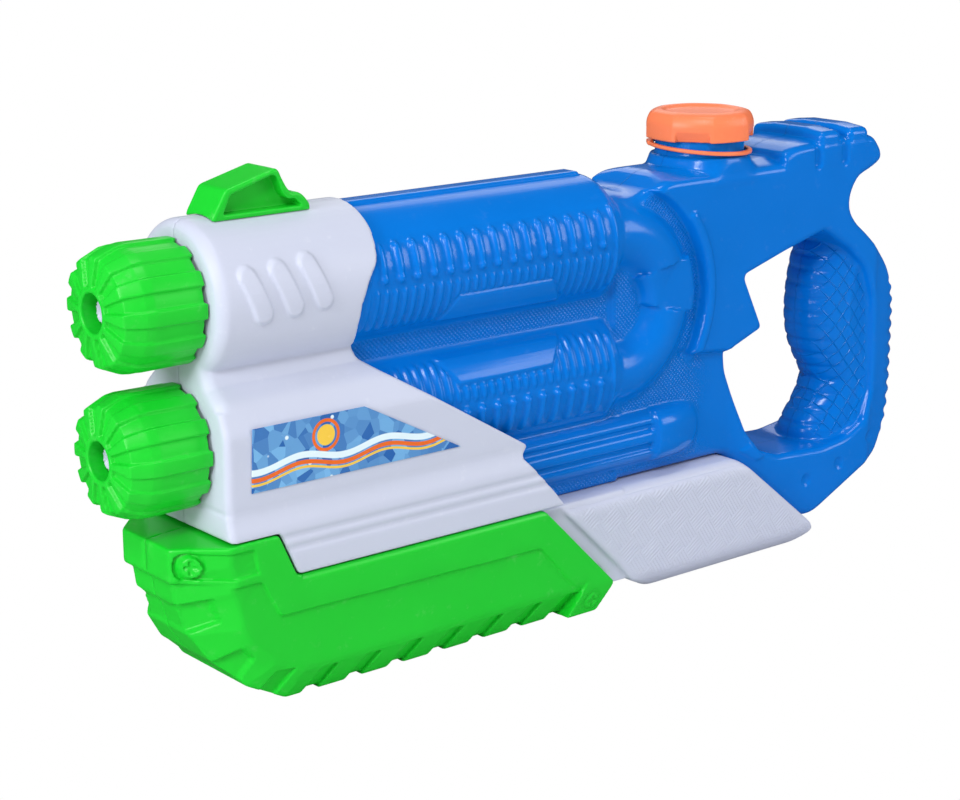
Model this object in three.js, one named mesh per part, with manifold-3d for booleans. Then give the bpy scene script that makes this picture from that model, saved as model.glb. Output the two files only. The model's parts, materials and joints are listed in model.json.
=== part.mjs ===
// Pump-action water squirter with two nozzles, in millimetres.
// +X points from the muzzle to the handle, +Z is up, and y = 0 is the moulding seam.
// Left is -Y and right is +Y, as the person holding the handle sees them.
// The origin is the middle of the footprint, on the ground.

import * as THREE from 'three';
import { mergeVertices } from 'three/addons/utils/BufferGeometryUtils.js';
import Module from 'manifold-3d';

const wasm = await Module();
wasm.setup();

// Overall
const LENGTH = 405.5;
const FIT = 0.3;
const SEAM = 0.2;
const FAR = 600;
const FINE_SIDES = 32;
const ROUND_SIDES = 24;
const SMALL_SIDES = 12;

// Barrels and nozzles
const UPPER_AXIS_Z = 148;
const BARREL_SPACING = 52;
const BARREL_RADIUS = 26;
const BARREL_END_ROUND = 8;
const BARREL_REAR_FROM_BACK = 180;
const BARREL_INSIDE_SHELL = 24;
const NOZZLE_LENGTH = 32.7;
const NOZZLE_RADIUS = 24.6;
const NOZZLE_FRONT_RADIUS = 10;
const NOZZLE_FACE_RADIUS = 19.5;
const NOZZLE_FACE_DROP = 1.6;
const NOZZLE_SHOULDER_RADIUS = 23.4;
const NOZZLE_SHOULDER_LENGTH = 5.2;
const NOZZLE_CONE_LENGTH = 12;
const NOZZLE_HOLE_RADIUS = 7;
const NOZZLE_LANDS = 12;
const NOZZLE_LAND_HEIGHT = 1.3;
const NOZZLE_SKIN = 2.6;
const NOZZLE_HOLLOW_DEPTH = 17;
const NOZZLE_SLEEVE_WALL = 2.2;
const COLLAR_RADIUS = 15;
const COLLAR_LIP = 1;
const COLLAR_LIP_LENGTH = 2;
const COLLAR_LENGTH = 9;
const JET_RADIUS = 5.7;
const JET_BORE_RADIUS = 2.2;
const JET_CUP_RADIUS = 4;
const JET_CUP_DEPTH = 3;
const JET_SETBACK = 4;
const JET_FLANGE_RADIUS = 9;
const JET_FLANGE_LENGTH = 2;
const JET_SOCKET_DEPTH = 6;
const JET_TO_MANIFOLD = 2.4;

// Front shell, moulded as a left and a right half
const SHELL_WALL = 2.2;
const SHELL_LOBE_MARGIN = 2.5;
const SHELL_CREASE_HALF = 17.5;
const SHELL_CREASE_DROP = 5.5;
const SHELL_HIP_HALF = 25;
const SHELL_HIP_RISE = 18.5;
const SHELL_SIDE_HALF = 29.5;
const SHELL_SIDE_RISE = 8;
const SHELL_SIDE_BOTTOM_Z = 79;
const SHELL_WAIST_HALF = 28.2;
const SHELL_WAIST_DROP = 2;
const SHELL_LEDGE_HALF = 30.2;
const SHELL_LEDGE_Z = 66.5;
const SHELL_SKIRT_HALF = 31.3;
const SHELL_SKIRT_DROP = 7.5;
const SHELL_TOP_LENGTH = 70;
const SHELL_WAVE = 12.5;
const SHELL_TIP_LENGTH = 135;
const SHELL_TAIL_LENGTH = 155;
const SHELL_TIP_Z = 77.7;

// Water tank, blown in one piece with its handle
const TANK_WALL = 2;
const TANK_HALF = 21;
const TANK_BEVEL = 3;
const TANK_SPINE_HALF = 9;
const TANK_SPINE_TAPER = 24;
const TANK_CORNER = 13;
const TANK_CORNER_LENGTH = 11;
const TANK_CROWN_HALF = 9;
const TANK_CROWN_DROP = 3.5;
const TANK_WEB_HALF = 14.6;
const TANK_RECESS_HALF = 17;
const TANK_RECESS_RADIUS = 49;
const TANK_TOP_Z = 172.5;
const TANK_TOP_FRONT_FROM_BACK = 168;
const TANK_CHIN_FROM_SHELL_TAIL = 43;
const BULGE_Z = 64;
const BULGE_HALF_HEIGHT = 11.5;
const BULGE_HALF_WIDTH = 24;
const BULGE_REAR_FROM_BACK = 132;
const BULGE_NOSE = 22;
const ELBOW_HALF_WIDTH = 23;
const ELBOW_HALF_HEIGHT = 15;
const ELBOW_REACH = 22;
const GRIP_CORE_HALF_DEPTH = 14;
const GRIP_CORE_HALF_WIDTH = 15;
const BAR_HEIGHT = 2.4;
const BAR_LENGTH = 12;
const BAR_HALF = 19;

// Filler neck, cap and tether
const NECK_FROM_BACK = 117;
const NECK_RADIUS = 18.5;
const NECK_BORE_RADIUS = 16;
const NECK_HEIGHT = 15.2;
const NECK_FLANGE_RADIUS = 22.5;
const NECK_FLANGE_HEIGHT = 3;
const THREAD_HEIGHT = 0.5;
const THREAD_WIDTH = 2;
const THREAD_BELOW_TOP = 4;
const CAP_RADIUS = 22.2;
const CAP_SKIRT = 12;
const CAP_TOP_WALL = 2.5;
const CAP_EDGE_ROUND = 2.5;
const CAP_LOBES = 8;
const CAP_LOBE_DEPTH = 1.1;
const CAP_SEAL_THICKNESS = 2.4;
const TETHER_WIDTH = 2;
const TETHER_THICKNESS = 1.6;

// Keel: the rail that carries the pump grip, and the rear block
const DECK_Z = 47.7;
const KEEL_WALL = 2.2;
const RAIL_HALF = 26;
const RAIL_BOTTOM_HALF = 17.5;
const RAIL_BOTTOM_Z = 7.5;
const RAIL_CHAMFER_Z = 18.5;
const RAIL_FRONT_FROM_SHELL = 32;
const BLOCK_HALF = 28;
const BLOCK_BOTTOM_HALF = 20;
const BLOCK_CHAMFER_Z = 8;
const BLOCK_REAR_FROM_BACK = 114.75;
const BLOCK_TOP_LENGTH = 103;
const BLOCK_SLOPE_LENGTH = 46.5;
const BLOCK_HEEL_Z = 10;
const TONGUE_HALF = 4;
const TONGUE_HEIGHT = 15.3;
const TONGUE_FRONT_FROM_SHELL = 54;
const TONGUE_LENGTH = 46;
const SADDLE_THICKNESS = 2.5;

// Pump grip, moulded as a left and a right half
const STROKE_STOP = 9.25;
const GRIP_HALF = 31.5;
const GRIP_WALL = 2.2;
const GRIP_NOSE_HALF = 15.5;
const GRIP_NOSE_LENGTH = 16;
const GRIP_BOTTOM_HALF = 22.5;
const GRIP_HEEL_HALF = 28;
const GRIP_HEEL_LENGTH = 13;
const GRIP_HEEL_CHAMFER = 5;
const GRIP_CHAMFER_Z = 15;
const GRIP_TOP_Z = 49.5;
const GRIP_TOP_CHAMFER = 4;
const GRIP_NOSE_BELOW_NOZZLE = 17;
const GRIP_EAR_GAP = 0.6;
const GRIP_NOSE_DROP = 1.6;
const GRIP_EAR_LENGTH = 36;
const GRIP_EAR_SLOPE = 7.5;
const GRIP_REAR_GAP = 10.5;
const TREAD_DEPTH = 3;
const TREAD_PITCH = 21;
const TREAD_COUNT = 7;
const TREAD_GROOVE = 6;
const LUG_LENGTH = 24;
const LUG_HEIGHT = 4.4;
const LUG_FROM_REAR = 30;

// Pump
const PUMP_AXIS_Z = 28;
const CYLINDER_BORE = 9;
const CYLINDER_WALL = 2;
const CYLINDER_REAR_FROM_BLOCK = 27;
const ROD_RADIUS = 4;
const ROD_HEAD_RADIUS = 8;
const ROD_HEAD_LENGTH = 4;
const ROD_HEAD_SETBACK = 24;
const ROD_TENON_RADIUS = 2.5;
const ROD_TENON_LENGTH = 7;
const PISTON_LENGTH = 10;
const SEAL_SECTION = 1.2;
const SEAL_SIDES = 6;
const GLAND_LENGTH = 10;
const GLAND_WALL = 2;
const VALVE_RADIUS = 12.5;
const VALVE_LENGTH = 42;
const VALVE_SOCKET = 8;
const CHAMBER_RADIUS = 7;
const INLET_FROM_BLOCK = 49;
const INLET_RADIUS = 7.5;
const INLET_BORE = 5;
const INLET_SEAT_BORE = 3;
const INLET_BALL_RADIUS = 4;
const INLET_TRAVEL = 2;
const INLET_CAGE_Z = 36;
const INLET_CAGE_BAR = 1.6;
const INLET_STANDING = 10;
const GROMMET_WALL = 2;
const GROMMET_FLANGE = 2;
const OUTLET_Y = 15;
const OUTLET_Z = 34;
const OUTLET_RADIUS = 6;
const OUTLET_BORE = 4;
const OUTLET_BALL_RADIUS = 3;
const OUTLET_TRAVEL = 2;
const OUTLET_SEAT_FROM_BLOCK = 45;
const OUTLET_PORT = 1.8;
const SPRING_WIRE = 0.7;
const SPRING_TURNS = 5;
const SPRING_STEPS = 8;
const SPRING_SIDES = 5;

// Hose and manifold
const HOSE_RADIUS = 3.2;
const HOSE_BORE = 2.1;
const BARB_BORE = 1;
const BARB_LENGTH = 7;
const MANIFOLD_RADIUS = 5;
const MANIFOLD_BORE = 3;
const MANIFOLD_CLEARANCE = 1.2;
const SPIGOT_RADIUS = 4;
const MANIFOLD_STANDING = 9;
const HOSE_BEND_LENGTH = 52;
const HOSE_STEPS = 24;
const HOSE_SIDES = 8;

// Screws, all driven from the right-hand side
const SCREW_HEAD_RADIUS = 3;
const SCREW_HEAD_HEIGHT = 2;
const SCREW_SHANK_RADIUS = 1.4;
const SCREW_HEAD_Y = 14;
const SCREW_TIP_Y = -10;
const BOSS_RADIUS = 5.2;
const BOSS_CLEARANCE = 2;

// Front sight and labels
const SIGHT_HALF = 9;
const SIGHT_HEIGHT = 14.2;
const SIGHT_FRONT_RISE = 9;
const SIGHT_FROM_SHELL = 10.9;
const SIGHT_LENGTH = 41;
const SIGHT_APEX = 25;
const SIGHT_POCKET = 4;
const SIGHT_RIM = 2.5;
const SIGHT_TONGUE_HALF = 2.5;
const SIGHT_TONGUE_LENGTH = 20;
const SIGHT_TONGUE_DEPTH = 4;
const LABEL_THICKNESS = 0.4;
const LABEL_INSET = 11;
const LABEL_TOP_LENGTH = 48;
const LABEL_BOTTOM_LENGTH = 92;
const LABEL_HEIGHT = 23;
const LABEL_ABOVE_EDGE = 4;

// Places worked out from the sizes above
const noseX = -LENGTH / 2;
const backX = LENGTH / 2;
const lowerAxisZ = UPPER_AXIS_Z - BARREL_SPACING;
const shellFrontX = noseX + NOZZLE_LENGTH + FIT;
const shellTopRearX = shellFrontX + SHELL_TOP_LENGTH;
const shellTailX = shellFrontX + SHELL_TAIL_LENGTH;
const lobeRadius = BARREL_RADIUS + SHELL_LOBE_MARGIN;
const barrelFrontX = shellTopRearX - BARREL_INSIDE_SHELL;
const barrelRearX = backX - BARREL_REAR_FROM_BACK;
const tankBottomZ = DECK_Z + FIT;
const tankChinX = shellTailX - TANK_CHIN_FROM_SHELL_TAIL;
const neckX = backX - NECK_FROM_BACK;
const neckTopZ = TANK_TOP_Z + NECK_HEIGHT;
const flangeTopZ = TANK_TOP_Z + NECK_FLANGE_HEIGHT;
const capInnerTopZ = neckTopZ + 2 * FIT + CAP_SEAL_THICKNESS;
const capTopZ = capInnerTopZ + CAP_TOP_WALL;
const capBottomZ = capTopZ - CAP_SKIRT;
const shellSkirtZ = GRIP_TOP_Z + 2 * FIT;
const gripFrontX = noseX + GRIP_NOSE_BELOW_NOZZLE;
const gripEarZ = SHELL_LEDGE_Z - GRIP_EAR_GAP;
const gripEarRearX = gripFrontX + GRIP_EAR_LENGTH;
const gripFloor = GRIP_WALL + TREAD_DEPTH;
const railFrontX = shellFrontX + RAIL_FRONT_FROM_SHELL;
const blockRearTopX = backX - BLOCK_REAR_FROM_BACK;
const blockFrontTopX = blockRearTopX - BLOCK_TOP_LENGTH;
const blockSlope = BLOCK_SLOPE_LENGTH / (DECK_Z - BLOCK_HEEL_Z);
const gripRearX = blockFrontTopX - GRIP_REAR_GAP;
const lugRearX = gripRearX + LUG_FROM_REAR - LUG_LENGTH;
const lugFrontX = lugRearX - LUG_LENGTH;
const stroke = lugFrontX - railFrontX - STROKE_STOP;
const cylinderFrontX = railFrontX + GLAND_LENGTH - KEEL_WALL;
const cylinderRearX = blockFrontTopX + CYLINDER_REAR_FROM_BLOCK;
const cylinderRadius = CYLINDER_BORE + CYLINDER_WALL;
const valveFrontX = cylinderRearX - VALVE_SOCKET;
const valveRearX = valveFrontX + VALVE_LENGTH;
const inletX = blockFrontTopX + INLET_FROM_BLOCK;
const outletSeatX = blockFrontTopX + OUTLET_SEAT_FROM_BLOCK;
const barbRadius = HOSE_BORE - FIT;
const rearBossX = barrelFrontX - BOSS_RADIUS - BOSS_CLEARANCE;
const manifoldX = rearBossX - BOSS_RADIUS - MANIFOLD_CLEARANCE - MANIFOLD_RADIUS;
const manifoldInletZ = lowerAxisZ - MANIFOLD_STANDING;
const collarFrontX = shellFrontX - COLLAR_LENGTH;
const jetFrontX = noseX + JET_SETBACK;
const jetRearX = manifoldX - MANIFOLD_RADIUS - JET_TO_MANIFOLD;
const jetFlangeX = shellFrontX - JET_FLANGE_LENGTH - 2 * FIT;
const tongueFrontX = shellFrontX + TONGUE_FRONT_FROM_SHELL;
const tongueRearX = tongueFrontX + TONGUE_LENGTH;
const tongueTopZ = DECK_Z + TONGUE_HEIGHT;
const tongueScrewZ = DECK_Z + TONGUE_HEIGHT / 2 + 1;
const sightFrontX = shellFrontX + SIGHT_FROM_SHELL;
const lobeTopZ = UPPER_AXIS_Z + lobeRadius;

const shellScrews = [
  { x: shellFrontX + 12.5, z: UPPER_AXIS_Z + 19, inner: SEAM / 2 },
  { x: rearBossX, z: UPPER_AXIS_Z - BARREL_SPACING / 2, inner: SEAM / 2 },
  { x: tongueFrontX + 9, z: tongueScrewZ, inner: TONGUE_HALF + FIT },
  { x: tongueRearX - 9, z: tongueScrewZ, inner: TONGUE_HALF + FIT },
];
const keelScrews = [
  { x: valveRearX + 16, z: PUMP_AXIS_Z, inner: SEAM / 2 },
  { x: blockRearTopX + 13, z: BLOCK_HEEL_Z + 7, inner: SEAM / 2 },
];
const gripScrews = [
  { x: gripFrontX + 22, z: gripEarZ - 13, inner: SEAM / 2 },
  { x: gripEarRearX + 1, z: gripFloor + BOSS_RADIUS + 4, inner: SEAM / 2 },
];

const palette = {
  tank: plastic(0x0a72cf, 0.34),
  shell: plastic(0xe2e3f0, 0.38),
  grip: plastic(0x22c933, 0.4),
  cap: plastic(0xff7d4d, 0.38),
  pump: plastic(0xdfe3e8, 0.45),
  seal: plastic(0x1c1d20, 0.8),
  hose: plastic(0xd8e6ea, 0.3),
  label: plastic(0x4f93cf, 0.25),
  steel: new THREE.MeshStandardMaterial({ color: 0xb9bcc0, roughness: 0.35, metalness: 1 }),
};

function plastic(color, roughness) {
  return new THREE.MeshStandardMaterial({ color, roughness, metalness: 0 });
}

// Solids and joins

function solidOf(geometry) {
  const bare = geometry.clone();
  bare.deleteAttribute('normal');
  bare.deleteAttribute('uv');
  const merged = mergeVertices(bare, 1e-4);
  const points = merged.attributes.position.array;
  const corners = merged.index.array;
  const kept = [];
  let volume = 0;
  for (let i = 0; i < corners.length; i += 3) {
    const [a, b, c] = [corners[i], corners[i + 1], corners[i + 2]];
    if (a === b || b === c || c === a) continue;
    kept.push(a, b, c);
    const [pa, pb, pc] = [a, b, c].map((n) => new THREE.Vector3().fromArray(points, n * 3));
    volume += pa.dot(pb.cross(pc));
  }
  if (volume < 0) kept.reverse();
  return new wasm.Manifold(new wasm.Mesh({
    numProp: 3,
    vertProperties: new Float32Array(points),
    triVerts: new Uint32Array(kept),
  }));
}

function join(first, ...rest) {
  return rest.reduce((sum, solid) => sum.add(solid), first);
}

function cut(first, ...tools) {
  return tools.reduce((left, tool) => left.subtract(tool), first);
}

function box(x0, x1, y0, y1, z0, z1) {
  const geometry = new THREE.BoxGeometry(x1 - x0, y1 - y0, z1 - z0);
  geometry.translate((x0 + x1) / 2, (y0 + y1) / 2, (z0 + z1) / 2);
  return solidOf(geometry);
}

function shapeOf(points) {
  return new THREE.Shape(points.map(([a, b]) => new THREE.Vector2(a, b)));
}

function prismAcross(outline, y0, y1, bevel = 0) {
  const geometry = new THREE.ExtrudeGeometry(shapeOf(outline), {
    depth: y1 - y0 - 2 * bevel,
    bevelEnabled: bevel > 0,
    bevelThickness: bevel,
    bevelSize: bevel,
    bevelOffset: -bevel,
    bevelSegments: 2,
  });
  geometry.rotateX(Math.PI / 2);
  geometry.translate(0, y1 - bevel, 0);
  return solidOf(geometry);
}

function prismAlong(section, x0, x1) {
  const geometry = new THREE.ExtrudeGeometry(shapeOf(section), { depth: x1 - x0, bevelEnabled: false });
  const turn = new THREE.Matrix4().makeBasis(
    new THREE.Vector3(0, 1, 0),
    new THREE.Vector3(0, 0, 1),
    new THREE.Vector3(1, 0, 0),
  );
  geometry.applyMatrix4(turn);
  geometry.translate(x0, 0, 0);
  return solidOf(geometry);
}

function prismUp(outline, z0, z1) {
  const geometry = new THREE.ExtrudeGeometry(shapeOf(outline), { depth: z1 - z0, bevelEnabled: false });
  geometry.translate(0, 0, z0);
  return solidOf(geometry);
}

function lathe(profile, sides) {
  return new THREE.LatheGeometry(profile.map(([r, h]) => new THREE.Vector2(r, h)), sides);
}

function turnedAlong(profile, y, z, sides) {
  return solidOf(lathe(profile, sides).rotateZ(-Math.PI / 2).translate(0, y, z));
}

function turnedUp(profile, x, y, sides) {
  return solidOf(lathe(profile, sides).rotateX(Math.PI / 2).translate(x, y, 0));
}

function turnedAcross(profile, x, z, sides) {
  return solidOf(lathe(profile, sides).translate(x, 0, z));
}

function rod(radius, from, to) {
  return [[0, from], [radius, from], [radius, to], [0, to]];
}

function ring(inner, outer, from, to) {
  return [[inner, from], [outer, from], [outer, to], [inner, to], [inner, from]];
}

function arc(a, b, radius, from, to, steps) {
  const points = [];
  for (let i = 0; i <= steps; i += 1) {
    const angle = from + (to - from) * i / steps;
    points.push([a + radius * Math.cos(angle), b + radius * Math.sin(angle)]);
  }
  return points;
}

function mirrored(half) {
  return [...half, ...half.filter(([a]) => a !== 0).map(([a, b]) => [-a, b]).reverse()];
}

function inset(points, distance) {
  const turn = Math.sign(THREE.ShapeUtils.area(points.map(([a, b]) => new THREE.Vector2(a, b))));
  return points.map((point, i) => {
    const before = points[(i + points.length - 1) % points.length];
    const after = points[(i + 1) % points.length];
    const [n1, n2] = [[before, point], [point, after]].map(([from, to]) => {
      const run = new THREE.Vector2(to[0] - from[0], to[1] - from[1]).normalize();
      return new THREE.Vector2(-run.y, run.x).multiplyScalar(turn);
    });
    const mitre = distance / (1 + n1.dot(n2));
    return [point[0] + mitre * (n1.x + n2.x), point[1] + mitre * (n1.y + n2.y)];
  });
}

function swept(halfWidth, halfHeight, path, sides, steps) {
  const section = new THREE.Shape(arc(0, 0, 1, 0, 2 * Math.PI * (1 - 1 / sides), sides - 1)
    .map(([a, b]) => new THREE.Vector2(a * halfWidth, b * halfHeight)));
  return solidOf(new THREE.ExtrudeGeometry(section, { steps, extrudePath: path, bevelEnabled: false }));
}

function halfOf(solid, side) {
  const [low, high] = side > 0 ? [SEAM / 2, FAR] : [-FAR, -SEAM / 2];
  return solid.intersect(box(-FAR, FAR, low, high, -FAR, FAR));
}

// Screw bosses: a clearance hole and a deep head pocket on the right, a pilot hole on the left

function bosses(screws, side, envelope) {
  const sum = screws.map(({ x, z, inner }) => {
    const [low, high] = side > 0 ? [inner, FAR] : [-FAR, -inner];
    return turnedAcross(rod(BOSS_RADIUS, low, high), x, z, ROUND_SIDES / 2);
  });
  return join(...sum).intersect(envelope);
}

function screwHoles(screws) {
  const seatY = SCREW_HEAD_Y - SCREW_HEAD_HEIGHT - FIT;
  const shank = SCREW_SHANK_RADIUS + FIT;
  const head = SCREW_HEAD_RADIUS + FIT;
  const profile = [[0, SCREW_TIP_Y - FIT], [shank, SCREW_TIP_Y - FIT], [shank, seatY], [head, seatY], [head, FAR],
    [0, FAR]];
  return join(...screws.map(({ x, z }) => turnedAcross(profile, x, z, SMALL_SIDES)));
}

function screwSolid({ x, z }) {
  const neckY = SCREW_HEAD_Y - SCREW_HEAD_HEIGHT;
  const profile = [[0, SCREW_TIP_Y], [SCREW_SHANK_RADIUS / 2, SCREW_TIP_Y], [SCREW_SHANK_RADIUS, SCREW_TIP_Y + 2],
    [SCREW_SHANK_RADIUS, neckY], [SCREW_HEAD_RADIUS, neckY], [SCREW_HEAD_RADIUS, SCREW_HEAD_Y - 0.6],
    [SCREW_HEAD_RADIUS - 0.6, SCREW_HEAD_Y], [0, SCREW_HEAD_Y]];
  return turnedAcross(profile, x, z, SMALL_SIDES);
}

// Water tank

function rearBodyOutline() {
  const topFrontX = backX - TANK_TOP_FRONT_FROM_BACK;
  const slopeEnd = tankBottomZ - 11;
  return [
    [barrelRearX - 2, tankBottomZ],
    [blockRearTopX, tankBottomZ],
    [blockRearTopX + FIT + slopeEnd * blockSlope, 11],
    [backX - 59.6, 10.4],
    [backX - 16.5, 30.5],
    [backX - 9, 43],
    [backX - 3, 58],
    [backX, 74],
    [backX - 0.5, 88],
    [backX - 5, 103],
    [backX - 12, 116.5],
    [backX - 20.5, 125],
    [backX - 30.7, 134],
    [backX - 38.2, 139.5],
    [backX - 43, 145.8],
    [backX - 43, 152.4],
    [backX - 38.5, 159.6],
    [backX - 30, 162.3],
    [backX - 23.5, 165.7],
    [backX - 23.5, 170],
    [backX - 32, TANK_TOP_Z + 7.5],
    [backX - 80, TANK_TOP_Z + 4.5],
    [backX - 90, TANK_TOP_Z],
    [topFrontX, TANK_TOP_Z],
    [topFrontX - 6, TANK_TOP_Z - 5.5],
    [barrelRearX - 2, TANK_TOP_Z - 12],
  ];
}

function handHoleOutline() {
  return [
    [backX - 108.4, 125], [backX - 96.4, 101], [backX - 115.4, 94], [backX - 114.4, 84.8],
    [backX - 108.4, 69.6], [backX - 102.5, 55.5], [backX - 95, 46.5], [backX - 84, 42.3],
    [backX - 55, 40.5], [backX - 40, 42.5], [backX - 28.5, 48.2], [backX - 23.5, 61.5], [backX - 23.3, 79.6],
    [backX - 25, 103.7], [backX - 30.3, 117.2], [backX - 41.2, 128.2], [backX - 59, 138.6], [backX - 84.2, 132.1],
  ];
}

function gripCorePath(shift) {
  const centres = [[-33, 132 + shift], [-38.5, 116], [-40.5, 100], [-38.5, 88], [-31, 75], [-28.5, 65], [-33, 53],
    [-42, 41 - shift]];
  return new THREE.CatmullRomCurve3(centres.map(([x, z]) => new THREE.Vector3(backX + x, 0, z)));
}

function gripCore(skin) {
  const path = gripCorePath(skin > 0 ? 6 : 0);
  const core = swept(GRIP_CORE_HALF_WIDTH - skin, GRIP_CORE_HALF_DEPTH - skin, path, ROUND_SIDES / 2, 12);
  return core.intersect(prismAcross(inset(rearBodyOutline(), skin), -FAR, FAR));
}

function elbowPath(shift) {
  const reach = ELBOW_REACH;
  const top = UPPER_AXIS_Z;
  const bottom = lowerAxisZ;
  const path = new THREE.CurvePath();
  const at = (x, z) => new THREE.Vector3(barrelRearX + x, 0, z);
  const soft = reach * 0.45;
  path.add(new THREE.LineCurve3(at(-10 - shift, top), at(0, top)));
  path.add(new THREE.CubicBezierCurve3(
    at(0, top), at(reach - soft, top), at(reach, top - soft), at(reach, top - reach)));
  path.add(new THREE.LineCurve3(at(reach, top - reach), at(reach, bottom + reach)));
  path.add(new THREE.CubicBezierCurve3(
    at(reach, bottom + reach), at(reach, bottom + soft), at(reach - soft, bottom), at(0, bottom)));
  path.add(new THREE.LineCurve3(at(0, bottom), at(-10 - shift, bottom)));
  return path;
}

function barrel(z, skin) {
  const radius = BARREL_RADIUS - skin;
  const round = BARREL_END_ROUND;
  const front = barrelFrontX + skin;
  const rear = barrelRearX - skin;
  return turnedAlong([
    [0, front], [radius - round, front], [radius - round * 0.3, front + round * 0.3], [radius, front + round],
    [radius, rear - round], [radius - round * 0.3, rear - round * 0.3], [radius - round, rear], [0, rear],
  ], 0, z, FINE_SIDES);
}

function bulge(skin) {
  const radius = BULGE_HALF_HEIGHT - skin;
  const rear = backX - BULGE_REAR_FROM_BACK - skin;
  const nose = BULGE_NOSE;
  const profile = [[0, tankChinX + skin], [radius, tankChinX + skin], [radius, rear - nose],
    [radius * 0.87, rear - nose * 0.5], [radius * 0.5, rear - nose * 0.13], [0, rear]];
  const width = (BULGE_HALF_WIDTH - skin) / radius;
  const geometry = lathe(profile, ROUND_SIDES).rotateZ(-Math.PI / 2).scale(1, width, 1).translate(0, 0, BULGE_Z);
  return solidOf(geometry);
}

function rearBody(skin) {
  const half = TANK_HALF - skin;
  const slab = prismAcross(inset(rearBodyOutline(), skin), -half, half, skin > 0 ? 0 : TANK_BEVEL);
  const hole = prismAcross(inset(handHoleOutline(), -skin), -FAR, FAR);
  const recessZ = UPPER_AXIS_Z - BARREL_SPACING / 2;
  const recessHalf = TANK_RECESS_HALF - skin;
  const recess = join(...[-1, 1].map((side) => {
    const [low, high] = [side * recessHalf, side * FAR].sort((a, b) => a - b);
    return turnedAcross(rod(TANK_RECESS_RADIUS + skin, low, high), barrelRearX, recessZ, FINE_SIDES);
  }));
  const lowerWall = join(...[-1, 1].map((side) => {
    const [low, high] = [side * recessHalf, side * FAR].sort((a, b) => a - b);
    return prismAcross(inset(lowerWallOutline(), -skin), low, high);
  }));
  const half0 = TANK_HALF;
  const plan = mirrored([[half0, barrelRearX - 2], [half0, backX - TANK_SPINE_TAPER],
    [half0 - 4.5, backX - TANK_SPINE_TAPER / 3], [TANK_SPINE_HALF, backX]]).map(([y, x]) => [x, y]);
  const edges = [-1, 1].flatMap((side) => [platformCorner(side, skin), crownCut(side, skin)]);
  return cut(slab.intersect(prismUp(inset(plan, skin), -FAR, FAR)), hole, recess, lowerWall, ...edges);
}

function lowerWallOutline() {
  return [
    [barrelRearX - 6, tankBottomZ - 3], [backX - 108, tankBottomZ - 3], [backX - 104, tankBottomZ + 4],
    [backX - 110, tankBottomZ + 18], [backX - 116, lowerAxisZ - 1.6], [backX - 142.4, lowerAxisZ + 0.8],
    [barrelRearX - 6, lowerAxisZ + 0.8],
  ];
}

function platformCorner(side, skin) {
  const frontX = backX - TANK_TOP_FRONT_FROM_BACK + skin;
  const inner = side * (TANK_HALF - TANK_CORNER - skin);
  return prismUp([
    [frontX - TANK_CORNER, inner], [frontX - TANK_CORNER, side * (TANK_HALF + 1)],
    [frontX + TANK_CORNER_LENGTH + 1, side * (TANK_HALF + 1)], [frontX, inner],
  ], TANK_TOP_Z - TANK_CORNER - skin, FAR);
}

function crownCut(side, skin) {
  const slope = TANK_CROWN_DROP / (TANK_HALF - TANK_CROWN_HALF);
  const wedge = (z) => [
    [side * TANK_CROWN_HALF, z], [side * FAR, z - slope * (FAR - TANK_CROWN_HALF)], [side * FAR, FAR],
    [side * TANK_CROWN_HALF, FAR],
  ];
  const rampX = backX - 86;
  return prismAlong(wedge(TANK_TOP_Z - skin), -FAR, rampX)
    .add(prismAlong(wedge(TANK_TOP_Z - skin + 7.5), rampX, FAR));
}

function tankWeb(skin) {
  const half = TANK_WEB_HALF - skin;
  const front = barrelFrontX + BARREL_END_ROUND + skin;
  const rear = barrelRearX + TANK_BEVEL + skin;
  const upper = box(front, rear, -half, half, lowerAxisZ, UPPER_AXIS_Z);
  const low = TANK_RECESS_HALF - skin;
  const chin = box(tankChinX + skin, rear, -low, low, tankBottomZ + skin, lowerAxisZ);
  return join(upper, chin);
}

function neckSolid() {
  const base = TANK_TOP_Z - TANK_WALL;
  const threadTop = neckTopZ - THREAD_BELOW_TOP;
  const threadRadius = NECK_RADIUS + THREAD_HEIGHT;
  return turnedUp([
    [0, base], [NECK_FLANGE_RADIUS, base], [NECK_FLANGE_RADIUS, flangeTopZ - 1],
    [NECK_FLANGE_RADIUS - 1, flangeTopZ], [NECK_RADIUS, flangeTopZ],
    [NECK_RADIUS, threadTop - THREAD_WIDTH], [threadRadius, threadTop - THREAD_WIDTH],
    [threadRadius, threadTop], [NECK_RADIUS, threadTop], [NECK_RADIUS, neckTopZ], [0, neckTopZ],
  ], neckX, 0, FINE_SIDES);
}

function rearBars() {
  const bar = (x) => box(x, x + BAR_LENGTH, -BAR_HALF, BAR_HALF, TANK_TOP_Z, TANK_TOP_Z + 7.5 + BAR_HEIGHT);
  return join(bar(backX - 64), bar(backX - 46));
}

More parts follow.
